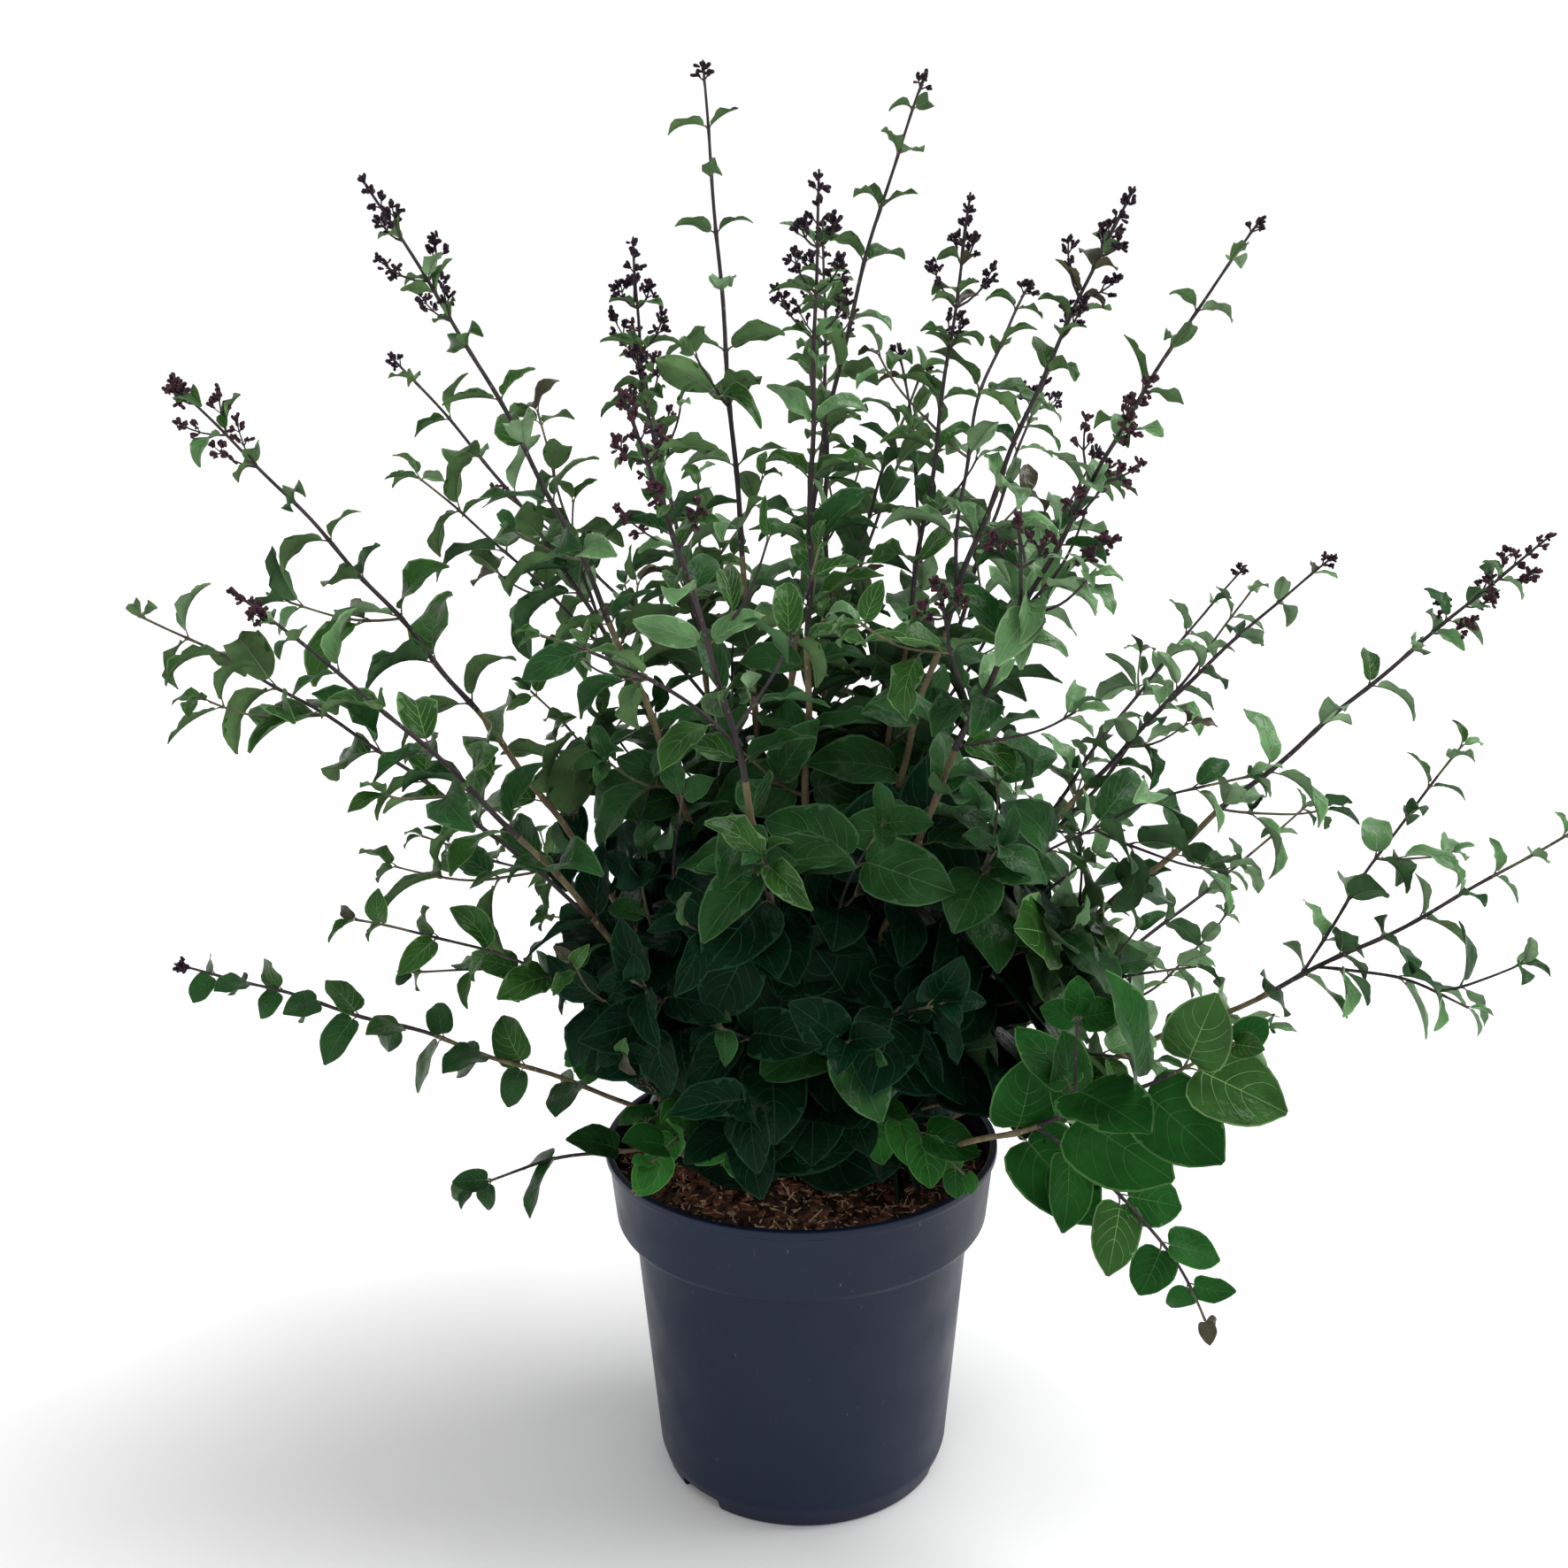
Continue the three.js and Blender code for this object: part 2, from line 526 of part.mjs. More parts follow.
function sideTwigs(stem, curve, from, startR, random) {
  const count = Math.floor(curve.getLength() * (1 - from) / TWIG_SPACING);
  const twigs = [];
  for (let i = 0; i < count; i++) {
    const share = mix(from, 0.82, (i + 0.6) / count);
    const length = mix(TWIG_LONG, TWIG_SHORT, share) * mix(0.8, 1.2, random());
    const start = curve.getPointAt(share);
    const along = curve.getTangentAt(share);
    const out = new THREE.Vector3(-along.y, along.x, 0.02).normalize()
      .applyAxisAngle(along, random() * Math.PI * 2);
    const tip = start.clone().addScaledVector(along, length * 0.62).addScaledVector(out, length * 0.7);
    const twig = bowed(start, tip, -length * 0.06, 0);
    const r = Math.max(mix(startR, TWIG_TIP_R, share) * 0.7, TWIG_TIP_R);
    const room = [r + CLEARANCE, TWIG_TIP_R + CLEARANCE];
    if (!leavesSpace(stem, tip) && !touches(stem, limb(twig, 0, 1, ...room, STEM_SIDES, STEM_STEP))) {
      twigs.push({ curve: twig, r });
    }
  }
  return twigs;
}

// A panicle: buds stacked on the tip, and for the larger ones pairs of bud spikes beside it.
function panicle(curve, bloom, random) {
  if (bloom === 0) return [];
  const length = curve.getLength();
  const tipLength = BUD_LENGTHS[bloom];
  const bud = (base, along, size) => {
    const normal = Math.abs(along.z) > 0.9 ? new THREE.Vector3(1, 0, 0) : UP.clone();
    normal.addScaledVector(along, -normal.dot(along)).normalize();
    const [width, thick] = [size * BUD_WIDTH, size * BUD_THICK];
    return { base, along, normal, length: size, width, thick, widest: BUD_WIDEST };
  };
  const along = curve.getTangentAt(1);
  const buds = [bud(curve.getPointAt(1).addScaledVector(along, -tipLength * 0.7), along, tipLength)];
  for (let pair = 0; pair < bloom - 1; pair++) {
    const share = 1 - tipLength * (1.1 + 0.95 * pair) / length;
    const run = curve.getTangentAt(share);
    const across = new THREE.Vector3(-run.y, run.x, 0.02).normalize();
    const turn = random() * 0.6 + pair * Math.PI / 2;
    for (const half of [0, Math.PI]) {
      const out = across.clone().applyAxisAngle(run, turn + half);
      const lean = run.clone().multiplyScalar(0.75).addScaledVector(out, 0.66).normalize();
      const size = tipLength * (0.75 + 0.25 * pair);
      buds.push(bud(curve.getPointAt(share).addScaledVector(out, -0.2), lean, size));
    }
  }
  return buds;
}

// The bare wood of a mass, which stands before any leaf is placed.
function woodOf(stem) {
  const limbs = [{ curve: stem.curve, from: stem.leafStart, r: stem.radiusAt(stem.leafStart) },
    ...stem.shoots.map(({ curve, r }) => ({ curve, from: 0, r }))];
  return limbs.map(({ curve, from, r }) => (
    solidOf(limb(curve, from, 1, r, TWIG_TIP_R, STEM_SIDES, STEM_STEP))));
}

function massSolid(stem, seed) {
  const random = randomFrom(1000 + 77 * seed);
  const solids = [];
  const grow = (curve, from, startR, bloom) => {
    const budShare = BUD_LENGTHS[bloom] * bloom / curve.getLength();
    const buds = panicle(curve, bloom, random).filter((bud) => bladeFits(stem, bud, spike));
    solids.push(...leavesOn(stem, curve, from, 1 - budShare, random).map(blade), ...buds.map(spike));
    for (const twig of sideTwigs(stem, curve, from, startR, random)) {
      solids.push(limb(twig.curve, 0, 1, twig.r, TWIG_TIP_R, STEM_SIDES, STEM_STEP));
      solids.push(...leavesOn(stem, twig.curve, 0.3, 0.98, random).map(blade));
    }
  };
  grow(stem.curve, stem.leafStart + 0.02, stem.radiusAt(stem.leafStart), stem.bloom);
  for (const shoot of stem.shoots) grow(shoot.curve, 0.14, shoot.r, shoot.bloom);
  return solids.map(solidOf).reduce((all, next) => all.add(next), stem.wood);
}

// ---------------------------------------------------------------- the bush
const finishes = {
  pot: new THREE.MeshStandardMaterial({ color: 0x3b4250, roughness: 0.55, metalness: 0 }),
  soil: new THREE.MeshStandardMaterial({ color: 0x3a2318, roughness: 1, metalness: 0 }),
  bark: new THREE.MeshStandardMaterial({ color: 0x7a6146, roughness: 0.85, metalness: 0 }),
  foliage: new THREE.MeshStandardMaterial({ color: 0x2f5a34, roughness: 0.6, metalness: 0 }),
};

const bush = new THREE.Group();
function addPiece(name, geometry, finish) {
  geometry.computeVertexNormals();
  const mesh = new THREE.Mesh(geometry, finishes[finish]);
  mesh.name = name;
  bush.add(mesh);
}

addPiece('pot', potSolid(), 'pot');
addPiece('soil', soilSolid(), 'soil');
addPiece('root_crown', rootCrown(), 'bark');
for (const stem of STEMS) {
  if (stem.bare > 0) addPiece(`cane_${stem.name}`, caneSolid(stem), 'bark');
}
bush.children.forEach((mesh) => stand(null, solidOf(mesh.geometry.clone())));
for (const stem of STEMS) {
  stem.wood = woodOf(stem).reduce((all, next) => all.add(next));
  stand(stem, stem.wood);
}
// The inner masses fill first, then the outer ones round them.
const order = [...STEMS].sort((a, b) => a.reach + a.height - b.reach - b.height);
order.forEach((stem, index) => {
  const mass = massSolid(stem, index);
  stand(stem, mass);
  addPiece(`leaves_${stem.name}`, outerShell(mass), 'foliage');
});

export default bush;
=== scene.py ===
"""The looks of a lilac bush in a round nursery pot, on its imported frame.

Metres, +Z up, in the frame's own axes. Stems and shoots follow the rows and the rule of the solids,
with thinner canes, leaves from a little lower down and a slightly higher end of the drooping shoot.
They carry on to twigs, leaves of real size, veins and flower buds, each kind joined into pieces.
"""

from math import cos, degrees, hypot, pi, radians, sin, sqrt

import bpy
import numpy as np
from mathutils import Matrix, Vector


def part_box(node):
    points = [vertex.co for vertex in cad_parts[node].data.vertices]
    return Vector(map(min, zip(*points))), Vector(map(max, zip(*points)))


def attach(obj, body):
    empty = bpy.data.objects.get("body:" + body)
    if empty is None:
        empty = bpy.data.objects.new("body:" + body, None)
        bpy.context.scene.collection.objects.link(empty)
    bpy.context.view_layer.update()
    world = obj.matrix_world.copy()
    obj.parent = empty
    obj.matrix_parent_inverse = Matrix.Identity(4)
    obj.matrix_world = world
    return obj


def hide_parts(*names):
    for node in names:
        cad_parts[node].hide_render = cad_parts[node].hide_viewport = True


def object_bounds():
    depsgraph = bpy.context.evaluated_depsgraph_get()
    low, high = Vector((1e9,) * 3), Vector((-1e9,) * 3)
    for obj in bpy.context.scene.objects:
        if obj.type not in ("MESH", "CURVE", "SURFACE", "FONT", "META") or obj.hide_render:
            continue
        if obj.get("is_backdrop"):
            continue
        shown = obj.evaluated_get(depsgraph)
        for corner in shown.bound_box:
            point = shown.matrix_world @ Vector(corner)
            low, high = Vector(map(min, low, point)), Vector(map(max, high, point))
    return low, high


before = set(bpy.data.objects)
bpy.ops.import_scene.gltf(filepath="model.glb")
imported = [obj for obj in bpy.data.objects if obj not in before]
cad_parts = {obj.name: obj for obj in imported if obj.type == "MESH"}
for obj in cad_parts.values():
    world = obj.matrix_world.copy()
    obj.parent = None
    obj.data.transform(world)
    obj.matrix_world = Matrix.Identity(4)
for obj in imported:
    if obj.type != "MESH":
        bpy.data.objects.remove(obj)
scene = bpy.context.scene
cad_low, cad_high = (np.array(corner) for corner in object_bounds())

MM = 0.001
UP = np.array([0.0, 0.0, 1.0])

# ---- sizes
pot_low, pot_high = (np.array(corner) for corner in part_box("pot"))

LIP_R = (pot_high[0] - pot_low[0]) / 2
POT_HEIGHT = pot_high[2]
POT_FOOT_R = 0.1015
POT_STEP_R = 0.1055  # at the top of the slightly steeper foot
POT_STEP_Z = 0.015
POT_WAIST_R = 0.1205  # where the wall runs in under the rim band
BAND_FOOT_R = 0.133
BAND_FOOT_Z = 0.196
BAND_TOP_R = 0.1375
LIP_HEIGHT = 0.005
POT_WALL = 0.0026
POT_FLOOR_Z = POT_WALL + 0.001
POT_ROUND = 0.001  # radius of its edges
POT_SEGMENTS = 192
SHARP_DEGREES = 40
AXIS_R = 0.0005  # where a turned profile ends, close to the axis
DRAIN_BEARINGS = (223, 343, 103)
DRAIN_WIDTH = 0.038
DRAIN_HEIGHT = 0.0095
DRAIN_DEPTH = 0.012

SOIL_Z = 0.230
SOIL_SINK = 0.003  # its bumps rise from this much below its level
SOIL_FOOT_Z = POT_WALL + 0.0013
SOIL_EDGE_R = BAND_TOP_R - POT_WALL - 0.0035
SOIL_SEGMENTS = 96
SOIL_RINGS = 34
CHIPS = 2600
CHIP_SIZES = ((0.004, 0.014), (0.003, 0.008), (0.0012, 0.003))
SLIVERS = 1900
SLIVER_SIZES = ((0.003, 0.014), (0.0006, 0.0014), (0.0005, 0.001))
MOUND = 0.017  # height of the soil heaped against the root crown

CROWN_R = 0.054  # the woody root crown that all stems rise from
CROWN_HEIGHT = 0.034
FOOT_RINGS = (0.012, 0.023, 0.034, 0.045)
FOOT_SPACING = 0.0135
FOOT_PUSHES = 60
TIP_R = 0.00085  # radius at the tip of any shoot
SHOOT_R_SHARE = 0.78
SHOOT_BARE = 0.14  # bare share of a shoot
TWIG_BARE = 0.25
OLD_BARK_TOP = 0.56  # share of a cane that has old, tan bark
YOUNG_BARK_TOP = 0.86
TAPER = 1.5  # above 1, a limb keeps its thickness for longer
NODE_SWELL = 0.22  # a limb is thicker by this share where leaves stand
NODE_LENGTH = 0.0035  # half of that swelling's length
FLARE_LENGTH = 0.011  # how soon the wide foot of a cane gets slender

PAIR_GAP = 0.046  # between two pairs of leaves
PAIR_GAP_HEART = 0.033
LEAF_HEART = 0.073  # blade length in the heart of the bush
LEAF_HIGH = 0.044  # high in the crown
LEAF_LOW = 0.032  # on the low outer sprays
LEAF_TIP_SHARE = 0.5  # size of the last leaves of a shoot
HEART_TOP = 0.645  # below this height leaves grow larger and hang
HEART_TOP_FADE = 0.240
HEART_X = 0.042  # the densest part lies a little to the right of the pot's axis
HEART_R = 0.11  # leaves are largest up to this reach from there
HEART_R_FADE = 0.12
HIGH_FROM = 0.37  # the low outer sprays end here
HIGH_FADE = 0.13
STALK_SHARE = 0.15  # leaf stalk, of the blade's length
STALK_R = np.array([0.0009, 0.0006, 0.0005])  # at its foot, middle and end
TWIG_GAP = 0.25
TWIG_GAP_HEART = 0.066
TWIG_LONG = 0.105
TWIG_SHORT = 0.045
TWIG_LEAN = (0.66, 0.68)  # shares of its length that it runs along its limb and out from it
TWIG_R = TIP_R * 1.5
TWIG_END = 0.78  # no side twig leaves a limb beyond this share
LAST_PAIR = 0.995  # where the pair at a shoot's tip stands
HANG_FOOT_Z = 0.1  # no leaf hangs lower
LEAF_ROOM = 0.0065  # least space between sample points of two leaves
BUD_LENGTH = 0.0046
BUD_R = 0.00135
BUD_PROFILE = ((0, 0.4), (0.6, 0.95), (0.9, 0.8))
BRANCHLET_GAP = 0.0085
PANICLE_GAP = 0.027  # between two pairs of panicles
# By bloom: the bare end of the shoot, the length of its last panicle, pairs of panicles beside it.
BLOOMS = ((0, 0, 0), (0.02, 0.016, 0), (0.034, 0.03, 1), (0.046, 0.04, 3), (0.1, 0.018, 3))
SIDE_PANICLES = (0.021, 0.03, 0.034)  # length of the first, second and third pair
OPEN_FRONT_Y = -0.07  # in front of this the soil lies open to view
OPEN_FRONT_X = (-0.1, 0.055)
OPEN_FRONT_RISE = 0.75  # slope below which no leaf hangs there
POT_CLEAR = 0.008  # least way from a leaf to the pot or soil
RIM_CLEAR = 0.035  # the same above the rim, but for sprays that hang over it
SEED = 11


# ---- stems and shoots
def read_rows(table, width):
    """Each line of a table as a name and numbers; noughts left out at its end are filled in."""
    for line in table.strip().split("\n"):
        name, *numbers = line.split()
        numbers = [float(n) if "." in n else int(n) for n in numbers]
        yield name, *numbers, *[0] * (width - len(numbers))


# Millimetres and degrees: the ring of the root crown that the stem stands on; bearing, reach and
# height of its tip; how far its middle lies above and beside the straight line; the bare share of
# its length; its radius at the foot; the size of its flower bud panicle.
STEMS = {name: row for name, *row in read_rows("""
left_high 1 193 265 905 35 -10 .32 2.7 3
left_mid 2 183 395 785 25 10 .31 2.7 4
left_front 2 201 360 670 25 -15 .27 2.7 2
left_back 1 157 310 795 50 15 .34 2.5 1
front_left 1 248 250 790 0 -25 .36 2.9 3
middle_left 0 133 85 980 5 -5 .24 2.7 1
middle_front 0 280 80 905 10 0 .32 2.9 3
middle_tall 0 45 125 975 45 -20 .21 2.7 1
middle_right 0 6 112 895 -8 -8 .24 2.7 3
right_high 1 346 210 895 30 5 .34 2.9 3
right_back_high 1 11 315 880 35 -5 .31 2.7 1
front_right 1 309 295 795 20 5 .36 3 3
right_back 2 15 400 650 25 -10 .22 2.7 1
right_mid 2 358 490 680 5 5 .3 2.7 3
right_low 3 359 540 485 -20 0 .3 2.5 0
front_droop 3 318 335 415 -10 15 .5 2.4 0
back_right 2 52 320 770 30 5 .31 2.7 2
back_high 1 84 215 885 25 10 .32 2.7 3
back_left 1 117 270 815 30 -10 .32 2.7 3
low_left 3 185 425 400 5 5 .3 1.9 1
rim_left 3 198 235 250 12 5 .45 1.6 0
low_back_right 3 28 465 430 -10 5 .25 2 0
low_back 3 76 430 480 -10 0 .25 2 1
low_back_left 3 128 420 400 10 5 .25 2 0
inner_left 2 218 130 470 -15 0 0 2.2 0
inner_back_left 2 138 95 500 -15 0 0 2.2 0
inner_right 2 335 140 490 -15 0 0 2.2 0
inner_front 2 273 105 450 -10 0 0 2.1 0
inner_back 2 95 120 480 -10 0 0 2.2 0
skirt_front_left 3 238 125 330 25 0 0 1.8 0
skirt_front 3 286 110 320 25 0 0 1.8 0
skirt_right 3 338 165 300 20 0 0 1.8 0
skirt_back_right 3 52 165 330 25 0 0 1.8 0
skirt_back 3 102 160 320 25 0 0 1.8 0
skirt_left 3 155 150 340 25 0 0 1.8 0
""", 9)}
# The stem, the share of its length where the shoot leaves it, then bearing, reach, height, bow,
# sway and bloom of the shoot.
SHOOTS = list(read_rows("""
left_front .4 177 450 630 20 -5
left_back .55 150 320 705 5
left_back .6 135 270 750 -5
front_left .6 220 200 640 10
front_left .62 278 90 685 -5 5
middle_left .35 169 105 870 -20 0 3
middle_tall .32 53 150 780 5 -5
middle_right .34 52 115 800 -20 20 1
right_high .6 29 185 840 15 -10 1
front_right .7 312 265 705 10 -5 2
front_right .72 302 225 720 -15 -5 2
front_right .6 290 215 685 0 0 2
right_back .32 32 415 625 5 -5 1
right_back .36 24 370 615 -10 -5
right_low .6 7 475 520 0 -5
right_low .62 352 450 370 5 -5
front_droop .55 321 318 221 15
back_right .5 40 300 720 -5 0 1
back_high .5 66 260 780 -5 0 1
back_left .5 135 330 690 10 0 1
back_left .55 104 320 690 5
low_back_right .3 30 400 345 -20 10
low_back .4 90 390 400 5
low_back .45 62 380 370 10
low_back_left .45 112 370 290 15
low_back_left .5 140 400 470 5
inner_left .4 198 300 450 15
inner_back_left .4 168 290 355 5
inner_back_left .6 143 250 545 5 5
inner_back_left .55 159 300 445
inner_right .8 338 300 545 15
inner_right .45 8 190 420 5
inner_front .4 252 165 400 5
inner_front .5 300 170 410 5
inner_left .5 236 185 430 5
inner_back .4 72 180 430 5
inner_back .5 116 190 420 5
""", 7))

# Lesser twigs of the inner stems, then fresh leafy sprigs at the rim, in the columns of SHOOTS.
TWIGS = list(read_rows("""
inner_front .6 258 150 505 8
inner_front .65 292 135 520 8
inner_front .35 280 160 390 8
inner_right .6 314 175 505 8
inner_right .4 350 200 470 8
inner_left .65 232 120 530 8
inner_back_left .65 165 105 560 8
inner_back .6 70 150 530 8
inner_back .65 112 150 530 8
inner_back .35 40 180 420 8
inner_right .3 336 250 350 10
inner_right .35 350 270 395 10
inner_right .25 325 215 300 10
""", 7))
SPRIGS = list(read_rows("""
skirt_front .75 311 160 281 10
skirt_front_left .7 224 142 310 8
skirt_front_left .5 244 110 285 6
skirt_back .7 92 168 290 8
skirt_left .7 168 158 300 8
skirt_back_right .6 35 165 290 8
""", 7))
# Dry seed heads of last year: bearing, reach and height of foot and tip.
DRY_TWIGS = (
    (215, 60, 262, 208, 131, 329),
    (226, 70, 262, 228, 121, 284),
    (226, 95, 285, 219, 141, 256),
    (60, 60, 262, 48, 128, 318),
)


# ---- small helpers
def unit(v):
    return v / np.maximum(np.linalg.norm(v, axis=-1, keepdims=True), 1e-12)


def mix(a, b, share):
    return a + (b - a) * share


def polar(bearing, reach, height):
    angle = radians(bearing)
    return np.array([reach * cos(angle), reach * sin(angle), height])


def turned_about(v, axis, angle):
    """v turned about a unit axis that it stands square to."""
    return v * cos(angle) + np.cross(axis, v) * sin(angle)


def square_to(axis, hint):
    """hint made square to a unit axis, as a unit vector."""
    return unit(hint - axis * np.dot(hint, axis))


def outwards(along, turn, level=None):
    """A unit vector square to a limb, turned about it from its level side."""
    side = square_to(along, np.array(level or (-along[1], along[0], 0.02)))
    return turned_about(side, along, turn)


def crown_height(reach):
    return SOIL_Z + CROWN_HEIGHT * sqrt(max(0.0, 1 - (reach / CROWN_R) ** 2))


class Curve:
    """A bowed line from start to tip with a little unevenness, read by shares of its length."""

    WAVE = 0.11  # length of its waves

    def __init__(self, start, tip, bow, sway, rng, uneven=0.0012):
        along = unit(tip - start)
        above = square_to(along, UP)
        beside = np.cross(along, above)
        middle = (start + tip) / 2 + 2 * bow * above + 2 * sway * beside
        steps = np.linspace(0, 1, 121)[:, None]
        line = (1 - steps) ** 2 * start + 2 * steps * (1 - steps) * middle + steps**2 * tip
        waves = np.linalg.norm(tip - start) / self.WAVE
        fade = 4 * steps * (1 - steps)
        for side in (above, beside):
            phase, pace = rng.uniform(0, 2 * pi), waves * rng.uniform(0.8, 1.3)
            line = line + side * uneven * fade * np.sin(2 * pi * pace * steps + phase)
        runs = np.linalg.norm(np.diff(line, axis=0), axis=1)
        self.line, self.reached = line, np.concatenate([[0], np.cumsum(runs)])
        self.length = self.reached[-1]

    def point(self, share):
        at = np.asarray(share) * self.length
        return np.stack([np.interp(at, self.reached, self.line[:, i]) for i in range(3)], -1)

    def along(self, share):
        step = 0.01
        low, high = np.clip(share - step, 0, 1), np.clip(share + step, 0, 1)
        return unit(self.point(high) - self.point(low))


# ---- joined meshes
class Kind:
    """Small meshes of one kind, which become one piece."""

    def __init__(self):
        self.points, self.faces, self.count = [], {3: [], 4: []}, 0

    def add(self, points, *face_arrays):
        points = np.asarray(points, float).reshape(-1, 3)
        self.points.append(points)
        for faces in face_arrays:
            self.faces[faces.shape[-1]].append(faces.reshape(-1, faces.shape[-1]) + self.count)
        self.count += len(points)

    def piece(self, name, material, slot, nodes=(), smooth=True):
        mesh = bpy.data.meshes.new(name)
        groups = self.faces[3] + self.faces[4]
        faces = [face for group in groups for face in group.tolist()]
        mesh.from_pydata(np.concatenate(self.points), [], faces, shade_flat=not smooth)
        mesh.validate()
        mesh.materials.append(material)
        thing = bpy.data.objects.new(name, mesh)
        scene.collection.objects.link(thing)
        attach(thing, "root")
        if nodes:
            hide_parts(*nodes)
        return thing


def triangles(quads):
    """Every quad cut along the same diagonal."""
    return np.concatenate([quads[:, [0, 1, 2]], quads[:, [0, 2, 3]]])


def grid_faces(rows, columns, wrap=False):
    """Quads of a grid of rows by columns, where columns may close on themselves."""
    row = np.arange(rows - 1)[:, None]
    column = np.arange(columns if wrap else columns - 1)[None, :]
    after = (column + 1) % columns
    low, high = row * columns, (row + 1) * columns
    return np.stack([low + column, low + after, high + after, high + column], -1).reshape(-1, 4)


def fan(ring, centre):
    """Triangles from each side of a closed ring of corners to one more corner."""
    return np.stack([ring, np.roll(ring, -1), np.full(len(ring), centre)], -1)


def add_tube(kind, line, radii, sides, closed_end=True):
    """A round limb along a line of points. radii is one number a point, or one a corner."""
    line = np.asarray(line)
    count = len(line)
    along = unit(np.gradient(line, axis=0))
    across = np.zeros_like(line)
    hint = np.array([0.31, 0.9, 0.3])
    for i in range(count):
        hint = square_to(along[i], hint)
        across[i] = hint
    beside = np.cross(along, across)
    angles = np.arange(sides) * 2 * pi / sides
    radii = np.asarray(radii, float)
    radii = radii[:, None] if radii.ndim == 1 else radii
    ring = across[:, None] * np.cos(angles)[:, None] + beside[:, None] * np.sin(angles)[:, None]
    points = (line[:, None] + ring * radii[..., None]).reshape(-1, 3)
    faces = [grid_faces(count, sides, wrap=True)]
    if closed_end:
        points = np.concatenate([points, line[-1:] + along[-1:] * radii[-1].mean()])
        faces.append(fan((count - 1) * sides + np.arange(sides), count * sides))
    kind.add(points, *faces)


def shell_of(profile, segments):
    """A turned surface from a profile of reach and height, with its faces outwards."""
    profile = np.asarray(profile)
    angles = np.arange(segments) * 2 * pi / segments
    points = np.stack([
        profile[:, None, 0] * np.cos(angles), profile[:, None, 0] * np.sin(angles),
        np.repeat(profile[:, None, 1], segments, 1),
    ], -1)
    return points, grid_faces(len(profile), segments, wrap=True)


def closed_shell(points, faces, low, high):
    """A turned surface, closed on its axis at two heights."""
    rows, segments = points.shape[:2]
    ring, corners = np.arange(segments), rows * segments
    flat = np.concatenate([points.reshape(-1, 3), [[0, 0, low], [0, 0, high]]])
    under, over = fan(ring, corners)[:, [1, 0, 2]], fan(corners - segments + ring, corners + 1)
    shell = Kind()
    shell.add(flat, faces, under, over)
    return shell


# ---- materials
class Painter:
    """A new material and its procedural nodes."""

    def __init__(self, name, base, roughness, gloss=0.5):
        self.material = bpy.data.materials.new(name)
        self.material.use_nodes = True
        tree = self.material.node_tree
        self.nodes, self.links = tree.nodes, tree.links
        self.shader = self.nodes["Principled BSDF"].inputs
        self.shader["Base Color"].default_value = (*base, 1)
        self.shader["Roughness"].default_value = roughness
        self.shader["Specular IOR Level"].default_value = gloss
        self.place = self.nodes.new("ShaderNodeTexCoord").outputs["Object"]

    def node(self, kind, **inputs):
        """A new node. An input takes a value, or a link from another node's output."""
        node = self.nodes.new(f"ShaderNode{kind}")
        for name, value in inputs.items():
            if isinstance(value, bpy.types.NodeSocket):
                self.links.new(value, node.inputs[name])
            else:
                node.inputs[name].default_value = value
        return node

    def stretched(self, scale):
        return self.node("Mapping", Scale=scale, Vector=self.place).outputs["Vector"]

    def noise(self, scale, detail=3.0, place=None, distortion=0.0):
        node = self.node("TexNoise", Scale=scale, Detail=detail, Distortion=distortion,
                         Vector=place or self.place)
        return node.outputs["Fac"]

    def cells(self, scale, feature="DISTANCE_TO_EDGE", place=None):
        node = self.node("TexVoronoi", Scale=scale, Vector=place or self.place)
        node.feature = feature
        return node.outputs["Distance"]

    def ramp(self, fac, *stops):
        node = self.node("ValToRGB", Fac=fac)
        for element, (at, value) in zip(node.color_ramp.elements, stops):
            value = value if isinstance(value, tuple) else (value,) * 3
            element.position, element.color = at, (*value, 1)
        return node.outputs["Color"]

    def blend(self, fac, a, b):
        node = self.nodes.new("ShaderNodeMix")
        node.data_type = "RGBA"
        self.links.new(fac, node.inputs["Factor"])
        self.links.new(a, node.inputs["A"])
        node.inputs["B"].default_value = (*b, 1)
        return node.outputs["Result"]

    def colour(self, value):
        self.links.new(value, self.shader["Base Color"])

    def mottle(self, scale, detail, low, high):
        self.colour(self.ramp(self.noise(scale, detail), low, high))

    def bump(self, height, strength, depth):
        """Adds to the bumps that the material already has."""
        node = self.node("Bump", Strength=strength, Distance=depth, Height=height)
        normal = self.shader["Normal"]
        if normal.is_linked:
            self.links.new(normal.links[0].from_socket, node.inputs["Normal"])
        self.links.new(node.outputs["Normal"], normal)


def scaled(colour, factor):
    return tuple(min(1.0, c * factor) for c in colour)


def leaf_material(name, base, roughness, gloss):
    """Matt leaf with soft mottling and the fine net of its smallest veins."""
    paint = Painter(name, base, roughness, gloss)
    paint.mottle(38, 2, (0.32, scaled(base, 0.72)), (0.68, scaled(base, 1.36)))
    paint.bump(paint.cells(330), 0.4, 0.0005)
    paint.bump(paint.noise(110, 3), 0.8, 0.0024)
    return paint.material


def vein_material(name, base):
    paint = Painter(name, base, 0.6, 0.1)
    paint.mottle(60, 3, (0.35, scaled(base, 0.8)), (0.65, scaled(base, 1.2)))
    return paint.material


